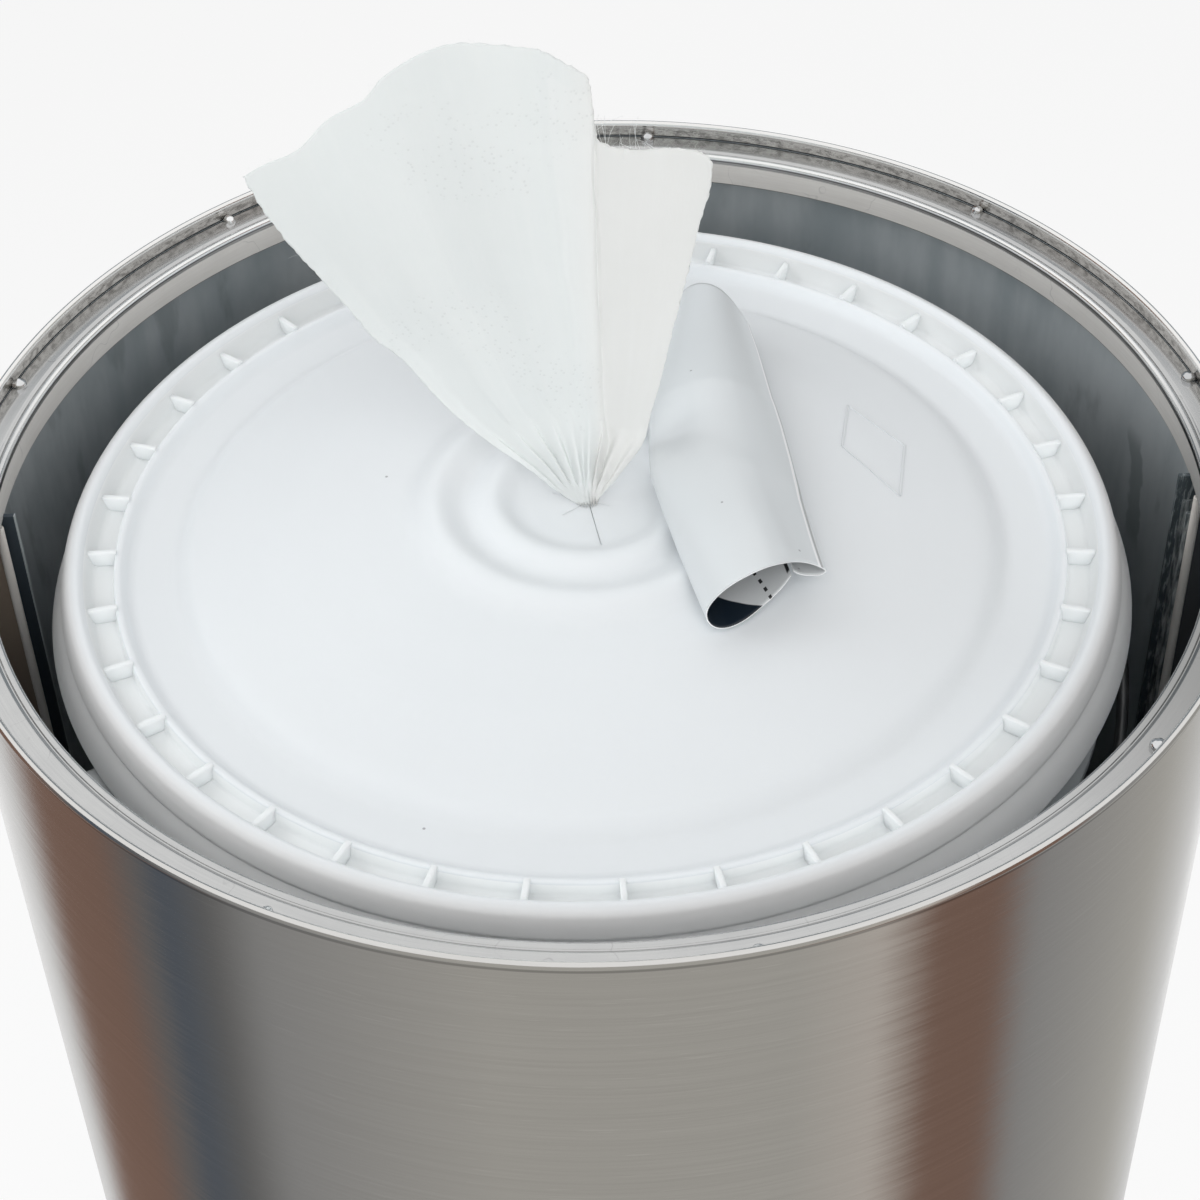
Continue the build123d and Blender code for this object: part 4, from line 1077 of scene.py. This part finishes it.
# %% Ribs of the lid
def lid_ribs():
    ribs = Recipe("ribs", rib_painted_tone, Count=36, Inner=0.1326, Outer=0.1409, Width=0.0009,
                  Height=0.0056, Floor=CREST - 0.0084)
    given = ribs.given
    section = ribs.node("GeometryNodeCurvePrimitiveQuadrilateral", {"mode": "TRAPEZOID"}, {
        "Bottom Width": ribs.sum("MULTIPLY", given["Width"], 2.0), "Top Width": given["Width"],
        "Height": given["Height"], "Offset": 0.0})[0]
    section = ribs.node("GeometryNodeFilletCurve", {"mode": "POLY"}, {
        "Curve": section, "Count": 3, "Radius": 0.00045})[0]
    run = ribs.node("GeometryNodeCurvePrimitiveLine", {}, {
        "Start": ribs.vector(X=given["Inner"]), "End": ribs.vector(X=given["Outer"])})[0]
    ring = ribs.node("GeometryNodeMeshCircle", {}, {"Vertices": given["Count"],
                                                   "Radius": 0.001})[0]
    index = ribs.node("GeometryNodeInputIndex")[0]
    step = ribs.sum("DIVIDE", math.tau, given["Count"])
    angle = ribs.sum("MULTIPLY", ribs.sum("ADD", index, 0.25), step)
    lift = ribs.sum("ADD", given["Floor"], ribs.sum("MULTIPLY", given["Height"], 0.5))
    points = ribs.node("GeometryNodeMeshToPoints", {}, {"Mesh": ring})[0]
    points = ribs.node("GeometryNodeSetPosition", {}, {
        "Geometry": points, "Position": ribs.vector(X=PAIL_MIDDLE[0], Z=lift)})[0]
    copies = ribs.copies(points, ribs.bar(run, section), Rotation=ribs.vector(Z=angle))
    return ribs.grow("lid_ribs", copies)


hand_over(lid_ribs(), "lid", "pail_white", rib_painted_tone)

# %% [markdown]
# ### The raised plate
# A low four-sided line stands on the crown at the right. Each side is a flat bar that follows
# the crown's slope, so its height is taken from the same chain of curves as the lid's.

# %% Raised plate
def plate_side(start, end):
    """One bar of the plate's outline, between two corners in millimetres."""
    along_it = (Vector(end) - Vector(start)).normalized()
    aside = Vector((-along_it.y, along_it.x))
    shape = bmesh.new()
    rings = []
    for step in range(13):
        middle = Vector(start).lerp(Vector(end), step / 12)
        ring_points = []
        for away, lift in ((-0.45, -0.4), (-0.28, 0.30), (0.28, 0.30), (0.45, -0.4)):
            spot = (middle + aside * away) * MM
            ground = crown_height(math.hypot(spot.x - PAIL_MIDDLE[0], spot.y))
            ring_points.append(shape.verts.new((*spot, CREST + ground + lift * MM)))
        rings.append(ring_points)
    for one, other in zip(rings, rings[1:]):
        ribbon(shape, one, other)
    shape.faces.new(rings[0])
    shape.faces.new(rings[-1])
    return built("side", shape, 60)


PLATE = ((74.2, 44.0), (88.9, 26.4), (84.8, 1.9), (70.5, 23.2))
sides = [plate_side(start, end) for start, end in zip(PLATE, PLATE[1:] + PLATE[:1])]
plate = joined("plate", *sides, crease=60)
hand_over(plate, "lid", "pail_white", lid_finish)

# %% [markdown]
# ## The wipe
# A damp nonwoven sheet is gathered where the valve grips it and opens like a fan above. The
# sheet is one grid of points. Its outline in the photograph's view is an edge on the left, one
# on the right, the torn top, and the gathered neck; a blend of the four fills the inside. Depth
# is then added along the view's own lines, so that folds never move the outline.

# %% Wipe sheet
def along(points, share):
    """A point a share of the way along a chain of points, eased at its corners."""
    lengths = [0.0]
    for one, other in zip(points, points[1:]):
        lengths.append(lengths[-1] + math.dist(one, other))
    goal = share * lengths[-1]
    for index in range(len(points) - 1):
        if goal <= lengths[index + 1] or index == len(points) - 2:
            t = (goal - lengths[index]) / (lengths[index + 1] - lengths[index])
            before = points[max(index - 1, 0)]
            one, other = points[index], points[index + 1]
            after = points[min(index + 2, len(points) - 1)]
            return [0.5 * (2 * p1 + (p2 - p0) * t + (2 * p0 - 5 * p1 + 4 * p2 - p3) * t * t
                           + (3 * p1 - p0 - 3 * p2 + p3) * t ** 3)
                    for p0, p1, p2, p3 in zip(before, one, other, after)]


def ease(t):
    t = min(max(t, 0.0), 1.0)
    return t * t * (3 - 2 * t)


FAN_DEPTH, NECK_LENGTH = 0.010, 0.118
LEFT_EDGE = [(-9.8, -20.9), (-18.7, -10.7), (-29.4, -0.6), (-38.5, 9.6), (-44.8, 18.5),
             (-51.4, 28.9), (-58.9, 36.9), (-64.9, 46.9), (-71.1, 56.4), (-78.3, 67.7),
             (-83.7, 78.0), (-87.6, 88.1)]
RIGHT_EDGE = [(-0.1, -21.3), (4.2, -16.7), (7.4, -11.7), (13.1, -2.2), (15.7, 9.3), (18.0, 18.5),
              (21.6, 36.2), (25.3, 53.2), (28.7, 70.0), (31.2, 80.0), (31.9, 88.0)]
TORN_TOP = [(-87.6, 88.1), (-82.1, 91.4), (-73.1, 95.5), (-64.7, 103.9), (-55.2, 109.3),
            (-50.6, 114.8), (-44.5, 119.3), (-37.7, 122.7), (-31.0, 124.3), (-21.2, 123.5),
            (-10.8, 121.7), (-5.3, 118.2), (0.5, 113.9), (1.6, 106.5), (2.6, 96.7),
            (6.6, 93.6), (13.4, 92.5), (21.7, 92.8), (29.3, 91.0), (31.9, 88.0)]


def neck_point(u, depth):
    """The gathered sheet in the valve: pleats that fill a small circle and twist downwards."""
    across = 2 * u - 1
    x = 3.1 * across
    y = 2.5 * math.sin(math.tau * 8.5 * u) * math.sqrt(max(1 - across * across, 0.02))
    turn = depth * 9
    spread = 1 + 0.35 * ease(depth / 0.1)
    return Vector(((x * math.cos(turn) - y * math.sin(turn)) * spread * MM - 0.0028,
                   (x * math.sin(turn) + y * math.cos(turn)) * spread * MM - 0.0005,
                   0.9512 - depth))


def on_fan(point):
    """Where the view's line through a point meets the fan's own upright plane."""
    run = point - EYE
    hit = EYE + run * ((FAN_DEPTH - EYE.y) / run.y)
    return hit.x / MM, (hit.z - RIM_TOP) / MM


def fold_depth(u, v):
    """How far the cloth stands behind the fan's plane, in millimetres."""
    crease = 0.59 + 0.008 * math.sin(5 * v)
    second = 0.735 - 0.02 * v
    flap = -1.5 * v * (math.tanh((u - crease) / 0.016) - math.tanh((u - second) / 0.018))
    turned = 3.2 * v * math.tanh((u - crease) / 0.05) * math.exp(-((u - crease) / 0.2) ** 2)
    bows = (2.4 * math.sin(math.tau * (1.4 * u + 0.15)) + 0.9 * math.sin(math.tau * (4.1 * u))
            * math.exp(-2.6 * v) + 0.7 * math.sin(math.tau * (2.9 * u + 0.4 * v)))
    sag = -9 * ease((v - 0.55) / 0.45) * ease((0.42 - u) / 0.4)
    return flap + turned + bows * min(1, 2.0 * v) + sag


def fan_point(u, v):
    """A point of the fan: u from its left to its right edge, v from the neck up."""
    left, right = along(LEFT_EDGE, v), along(RIGHT_EDGE, v)
    top, low = along(TORN_TOP, u), on_fan(neck_point(u, 0.0))
    corners = [on_fan(neck_point(0.0, 0.0)), on_fan(neck_point(1.0, 0.0)), TORN_TOP[0],
               TORN_TOP[-1]]
    start = ease(v / 0.05)
    left = [corners[0][i] + (left[i] - corners[0][i]) * start for i in (0, 1)]
    right = [corners[1][i] + (right[i] - corners[1][i]) * start for i in (0, 1)]
    flat = []
    for i in (0, 1):
        ruled = (1 - v) * low[i] + v * top[i] + (1 - u) * left[i] + u * right[i]
        tied = ((1 - u) * (1 - v) * corners[0][i] + u * (1 - v) * corners[1][i]
                + (1 - u) * v * corners[2][i] + u * v * corners[3][i])
        flat.append(ruled - tied)
    open_share = ease(v / 0.25)
    gathered = -0.0005 + (neck_point(u, 0.0).y + 0.0005) * math.exp(-v / 0.014)
    depth = ((1 - open_share) * gathered
             + open_share * (FAN_DEPTH + fold_depth(u, v) * MM))
    spot = Vector((flat[0] * MM, FAN_DEPTH, RIM_TOP + flat[1] * MM))
    return EYE + (spot - EYE) * ((depth - EYE.y) / (FAN_DEPTH - EYE.y))


def ragged(u, v, chance):
    """Torn edges: the outermost points stray in small uneven bites."""
    if 0.985 > v and 0.012 < u < 0.988:
        return 0.0
    place = Vector((u * 60, v * 60, 0))
    bites = noise.noise(place) * 0.38 + noise.noise(place * 3.1) * 0.25
    return (bites + chance.uniform(-0.10, 0.10)) * MM * (0.35 + 0.65 * ease((v - 0.3) / 0.3))


def wipe_rows(wide=204, tall=130, deep=40):
    """The sheet's points from the end of its neck up to the torn edge."""
    chance = random.Random(11)
    for row in range(-deep, tall + 1):
        line = []
        for column in range(wide + 1):
            u, v = column / wide, row / tall
            stray = 0.0 if row < 0 else ragged(u, v, chance)
            spot = neck_point(u, -row / deep * NECK_LENGTH) if row < 0 else fan_point(u, v)
            line.append(spot + Vector((stray, 0, stray * 0.7)))
        yield line


def nonwoven():
    """Bonded fibres: cloudy thickness, fine threads, and patches of tiny pinholes. The part right
    of the fold is tinted warmer as painted light.
    """
    cloth = Coating("wipe_cloth", roughness=0.85)
    uv = cloth.node("ShaderNodeUVMap", {"uv_map": "cloth"}).outputs[0]
    cloud = cloth.noise(55, detail=5.0, rough=0.6)
    thread = cloth.noise((1400, 1400, 500), detail=3.0)
    weave = cloth.noise((500, 300, 1600), detail=3.0, shift=(2, 2, 2))
    cells = cloth.node("ShaderNodeTexVoronoi", {"feature": "F1"}, {
        "Vector": cloth.place, "Scale": 620.0}).outputs["Distance"]
    patch = cloth.between(cloth.noise(26, detail=2.0, shift=(6, 2, 9)), 0.54, 0.64)
    pins = cloth.between(Number(cloth, cells), 0.26, 0.16) * patch
    across, upward, _ = cloth.parts(uv)
    # The part right of the fold is tinted warmer: painted light.
    painted_warm_light = cloth.between(across, 0.60, 0.72)
    cool = cloth.blend(cloud, (0.86, 0.89, 0.89), (0.91, 0.93, 0.925))
    warmer = cloth.blend(cloud, (0.88, 0.88, 0.865), (0.915, 0.912, 0.90))
    double = (cloth.band(across, 0.588, 0.594, 0.722, 0.730)
              * cloth.band(upward, 0.35, 0.75, 0.960, 0.968))
    ray = cloth.between(cloth.noise((46, 2.2, 1), detail=3.0, on=uv), 0.45, 0.75)
    tone = cloth.layered(cool,
                         (painted_warm_light, warmer),
                         (double * 0.30, (0.96, 0.96, 0.955)),
                         (ray * 0.22, (0.95, 0.955, 0.95)),
                         (pins * 0.28, (0.55, 0.57, 0.57)))
    normal = cloth.raised(thread * 0.5 + weave * 0.5 - pins * 0.6, 0.00007)
    cloth.wear(base_color=tone, normal=normal)
    through = cloth.node("ShaderNodeBsdfTranslucent", {}, {"Color": (0.93, 0.945, 0.94, 1)})
    cloth.show(cloth.shader.outputs[0], through.outputs[0], 0.36)
    return cloth


cloth_finish = nonwoven()
wipe = sheet_of("wipe", list(wipe_rows()), "cloth", 0.00025)
hand_over(wipe, "lid", "wipe_cloth", cloth_finish, "wipe_sheet")

# %% [markdown]
# ### Loose fibres
# A torn nonwoven edge sheds fibres. They are tufts of one thin bent wire each, thickest at the
# notch in the top and sparse elsewhere. Each point on the edge carries its own length.

# %% Loose fibres
def fibre_places():
    """Points on the edges of the cloth, each with a length for its fibre."""
    chance = random.Random(5)
    spots = [(chance.uniform(0.775, 0.90), 1.0, chance.uniform(0.3, 1.5)) for _ in range(24)]
    spots += [(0.0, chance.uniform(0.45, 0.80), chance.uniform(0.2, 0.6)) for _ in range(70)]
    spots += [(1.0, chance.uniform(0.15, 0.95), chance.uniform(0.2, 0.5)) for _ in range(26)]
    spots += [(chance.random(), 1.0, chance.uniform(0.15, 0.4)) for _ in range(50)]
    mesh = bpy.data.meshes.new("fibre_places")
    mesh.from_pydata([fan_point(u, v) for u, v, _ in spots], [], [])
    mesh.attributes.new("length", "FLOAT", "POINT").data.foreach_set(
        "value", [length for _, _, length in spots])
    return mesh


def loose_fibres():
    tufts = Recipe("fibres", cloth_finish, Seed=9, Thickness=0.000035)
    wire = tufts.node("GeometryNodeCurveQuadraticBezier", {}, {
        "Resolution": 9, "Start": (0, 0, -0.0006), "Middle": (0.0002, 0.0002, 0.0034),
        "End": (0.0018, 0.0006, 0.0056)})[0]
    section = tufts.node("GeometryNodeCurvePrimitiveCircle", {}, {
        "Resolution": 3, "Radius": tufts.given["Thickness"]})[0]
    length = tufts.node("GeometryNodeInputNamedAttribute", {"data_type": "FLOAT"}, {
        "Name": "length"})[0]
    copies = tufts.copies(
        tufts.given["Base"], tufts.bar(wire, section), Scale=length,
        Rotation=tufts.chance("FLOAT_VECTOR", (-1.3, -1.2, -2.6), (0.6, 1.3, 2.6)))
    return tufts.grow("fibres", copies, fibre_places(), crease=180)


hand_over(loose_fibres(), "lid", "wipe_cloth", cloth_finish)

# %% [markdown]
# ## The peeled seal
# The valve came closed with a round sticker. Peeled off, it has curled into a flat tube that
# lies over the crown. It is one film: tucked under at its right, over the top, round the left
# fold and back underneath. Its section changes along its length, and its near end is cut on the
# slant that the sticker's round edge gives it.

# %% Seal
MOUTH = ((50.9, -39.4, 955.8), (47.6, -43.6, 954.5), (42.8, -47.9, 952.9), (37.8, -52.1, 951.9),
         (32.9, -54.7, 951.7), (29.5, -55.1, 952.6), (27.7, -54.0, 954.5), (28.2, -53.2, 958.0),
         (31.6, -53.1, 963.0), (36.2, -52.5, 966.5), (42.9, -49.4, 967.6), (48.5, -45.3, 965.5),
         (52.8, -41.1, 962.0), (56.3, -39.0, 959.3), (59.0, -38.7, 957.5), (60.1, -38.6, 956.3),
         (58.6, -38.7, 955.0), (54.1, -38.5, 955.0), (51.6, -38.6, 956.5))
FAR_SECTION = ((0.70, 2.0), (0.58, 1.2), (0.44, 0.5), (0.30, 0.3), (0.17, 0.6), (0.06, 2.2),
               (0.0, 5.0), (0.03, 8.6), (0.14, 12.4), (0.28, 14.8), (0.46, 15.6), (0.62, 14.6),
               (0.76, 12.0), (0.88, 8.6), (0.96, 5.6), (1.0, 3.8), (0.95, 2.8), (0.83, 2.6),
               (0.72, 3.1))
SEAL_LEFT = ((-54, 27.7), (-31, 21.4), (-16, 17.8), (-2, 14.9), (10, 14.8), (22, 15.5),
             (46, 19.2), (84, 25.5))
SEAL_RIGHT = ((-39, 60.1), (-29, 58.4), (-13, 56.0), (19, 52.9), (33, 51.1), (60, 48.9),
              (78, 46.9))
SEAL_FLOOR = ((-54, 951.7), (-30, 954.0), (-8, 955.3), (28, 955.3), (60, 951.4), (86, 948.4))


def level(table, y):
    """A value between the rows of a table."""
    for (y0, a), (y1, b) in zip(table, table[1:]):
        if y <= y1:
            t = min(max((y - y0) / (y1 - y0), 0.0), 1.0)
            return a + (b - a) * t
    return table[-1][1]


def near_section():
    """The mouth's points as a share of the tube's width and a height over its floor."""
    section = []
    for x, y, z in MOUTH:
        left, right = level(SEAL_LEFT, y), level(SEAL_RIGHT, y)
        section.append(((x - left) / (right - left), z - level(SEAL_FLOOR, y)))
    return section


NEAR_SECTION = near_section()
SEAL_WIDTH = 32.4
SEAL_ACROSS, SEAL_LONG = 130, 120


def section_at(t):
    """The tube's section a share t of the way from its mouth: across, height, and mouth y."""
    mix = ease(t / 0.40)
    return [((near[0] + (far[0] - near[0]) * mix) * SEAL_WIDTH,
             near[1] + (far[1] - near[1]) * mix, point[1])
            for near, far, point in zip(NEAR_SECTION, FAR_SECTION, MOUTH)]


def seal_point(section, s, t):
    """A point of the film: s across it from its tucked edge, t from near to far."""
    across, height, mouth_y = along(section, s)
    share = across / SEAL_WIDTH
    far_y = 86.5 - 10 * max(share, 0) ** 1.5
    y = mouth_y + (far_y - mouth_y) * t
    left, right = level(SEAL_LEFT, y), level(SEAL_RIGHT, y)
    dent = 1.8 * math.exp(-((y - 14) / 15) ** 2) * math.exp(-((s - 0.47) / 0.07) ** 2)
    x = left + (right - left) * share + dent * 0.7
    return Vector((x * MM, y * MM, (level(SEAL_FLOOR, y) + height - dent) * MM))


def seal_rows(across=SEAL_ACROSS, length=SEAL_LONG):
    """The film's points from its mouth to its far end."""
    for t in range(length + 1):
        section = section_at(t / length)
        yield [seal_point(section, s / across, t / length) for s in range(across + 1)]


def film():
    """White film, light grey and partly printed dark on the side that was stuck down, and darker
    in one corner by its mouth. Its cut edge is paler than its face: a painted highlight.
    """
    sticker = Coating("label_film", roughness=0.3)
    s, t, _ = sticker.parts(sticker.node("ShaderNodeUVMap", {"uv_map": "film"}).outputs[0])
    side = Number(sticker, sticker.node("ShaderNodeAttribute", {
        "attribute_name": "side"}).outputs["Fac"])
    inside = sticker.between(side, 0.4, 0.6)
    # The cut edge is paler than the face: a painted highlight.
    rim = sticker.between(side, 1.4, 1.6)
    drift = sticker.noise(14, detail=3.0)
    face = sticker.layered(sticker.blend(drift, (0.68, 0.715, 0.735), (0.725, 0.755, 0.77)),
                           (sticker.line(s - 0.884, 0.005, 0.003), (0.42, 0.43, 0.44)),
                           (sticker.line(s - 0.874, 0.005, 0.003), (0.90, 0.91, 0.92)))
    back = sticker.blend(drift, (0.60, 0.62, 0.63), (0.67, 0.69, 0.70))
    edge = (s - 0.139) * 0.56 + sticker.maths("MAXIMUM", 0.0, s - 0.33) * 1.5
    navy = sticker.between(edge - t, -0.0015, 0.0015) * sticker.between(s, 0.55, 0.54)
    # A dark corner at the mouth, by the tucked edge.
    corner = sticker.between(s, 0.024, 0.018) * sticker.between(t, 0.012, 0.02)
    dash = (sticker.line(s - 0.103 - t * 0.35, 0.0065, 0.0045)
            * sticker.between(sticker.maths("SINE", t * 230 + 0.6), 0.10, 0.30)
            * sticker.between(t, 0.105, 0.10))
    back = sticker.layered(back, (navy, (0.005, 0.011, 0.020)),
                           (sticker.maths("MAXIMUM", dash, corner), (0.01, 0.01, 0.012)))
    dirt = [(sticker.spot(x, y, 0.0004) * 0.7, DIRT)
            for x, y in ((0.0276, 0.0336), (0.0331, -0.0249), (0.0531, -0.0365))]
    tone = sticker.layered(face, (inside, back), (rim, (0.93, 0.94, 0.95)), *dirt)
    ripple = sticker.noise((40, 12, 40), detail=2.0)
    return sticker.wear(base_color=tone, normal=sticker.raised(ripple, 0.0004))


seal = sheet_of("seal", list(seal_rows()), "film", 0.00036)
film_faces = SEAL_ACROSS * SEAL_LONG
hand_over(seal, "lid", "label_film", film(), "seal_label")
top_face = seal.data.polygons[60 * SEAL_ACROSS + 78]
first_is_outside = top_face.normal.z > 0
sides = []
for index in range(len(seal.data.polygons)):
    first, second = index < film_faces, film_faces <= index < 2 * film_faces
    inner = second if first_is_outside else first
    sides.append(1.0 if inner else 0.0 if first or second else 2.0)
seal.data.attributes.new("side", "FLOAT", "FACE").data.foreach_set("value", sides)
print("film faces", film_faces, "first copy outside", first_is_outside)

# %% [markdown]
# ## Stage
# A plain pale floor carries the shadow. To the camera, and in the steel, it and the room behind
# are plain white. What the front of the cylinder mirrors is the floor on the photographer's
# side, so a shallow bowl is laid round the stand that only reflections can see. Its tone runs
# round it: silver grey in front, brown and dark blue to the left, brown and grey to the right.
# A grey card behind darkens the back of the ledge in the same way.

# %% Floor and reflected room
WHITE = (1, 1, 1, 1)


def flat_disc(name, radius, height):
    shape = bmesh.new()
    bmesh.ops.create_circle(shape, cap_ends=True, segments=96, radius=radius)
    for vert in shape.verts:
        vert.co.z = height
    return built(name, shape)


def floor_paint():
    paint = Finish("floor")
    matt = paint.node("ShaderNodeBsdfDiffuse", {}, {"Color": (0.86, 0.86, 0.86, 1)})
    paint.show(matt.outputs[0], paint.glow(WHITE, 1.12), paint.seen_directly() * 0.62)
    return paint


def room_card_paint():
    """What the steel mirrors, by direction in degrees: 0 is the viewer, 90 the right hand."""
    paint = Finish("room_card")
    x, y, _ = paint.parts(paint.place)
    turn = paint.maths("ARCTAN2", x, 0 - y) / math.tau + 0.5
    white, pale, grey, dusk = ((level,) * 3 for level in (1, 0.7, 0.3, 0.15))
    silver, bright = (0.46, 0.45, 0.42), (0.56, 0.52, 0.48)
    brown, dark_blue = (0.22, 0.14, 0.11), (0.09, 0.11, 0.14)
    tones = ((-146, white), (-125, pale), (-113, brown), (-95, brown), (-85, dusk),
             (-80, dark_blue), (-70, dusk), (-60, grey), (-20, silver), (30, silver),
             (45, bright), (55, brown), (68, brown), (76, grey), (110, silver), (130, pale),
             (142, white))
    stops = [((angle + 180) / 360, tone) for angle, tone in tones]
    ramp = paint.node("ShaderNodeValToRGB", {"stops": stops}, {0: turn})
    paint.show(paint.glow(ramp.outputs[0]))
    return paint


def back_card_paint():
    paint = Finish("back_card")
    paint.show(paint.glow((0.30, 0.33, 0.355, 1)))
    return paint


floor = flat_disc("floor", 6.0, 0.0)
floor.data.materials.append(floor_paint().material)
bowl = [(0.0, 0.001), (3.0, 0.001), (3.0, 2.4), (3.01, 2.4), (3.01, 0.0005)]
card = spun("room_card", bowl, 96)
back_card = block((-1.5, 1.55, 0.9), (1.5, 1.56, 2.1))
back_card.name = "back_card"
for piece, paint in ((card, room_card_paint()), (back_card, back_card_paint())):
    piece.data.materials.append(paint.material)
    for ray in ("camera", "diffuse", "transmission", "volume_scatter", "shadow"):
        setattr(piece, "visible_" + ray, False)

# %% [markdown]
# ## Light
# Soft boxes give the even light of a catalogue photograph: a large one high in front, a second
# at the left that shapes the waves of the lid, and a weak one by the camera.
# The world itself is dim for light and plain white for the camera and for mirrors.

# %% Lamps and world
def soft_box(name, place, size, power, tint=(1, 1, 1)):
    """A square lamp that looks at the rim and isn't mirrored itself."""
    lamp = bpy.data.lights.new(name, "AREA")
    lamp.shape = "SQUARE"
    lamp.size = size
    lamp.energy = power
    lamp.color = tint
    holder = bpy.data.objects.new(name, lamp)
    bpy.context.scene.collection.objects.link(holder)
    aim = Vector((0, 0, 0.95)) - Vector(place)
    facing = aim.to_track_quat("-Z", "Y").to_matrix().to_4x4()
    holder.matrix_world = Matrix.Translation(place) @ facing
    holder.visible_glossy = False
    return holder


soft_box("overhead", (0.1, -1.35, 2.25), 1.8, 11.4)
soft_box("left", (-0.95, 0.25, 1.55), 0.7, 4.2, (0.95, 0.98, 1.0))
soft_box("front", (0.3, -1.6, 1.6), 1.2, 4.8, (1.0, 0.985, 0.97))

world = bpy.data.worlds.new("room")
bpy.context.scene.world = world
sky = Surface(world, "ShaderNodeOutputWorld")
dim, white = (sky.glow(WHITE, strength, "ShaderNodeBackground") for strength in (0.64, 1.0))
sky.show(dim, white, sky.seen_directly())
bpy.context.scene.view_settings.view_transform = "Standard"
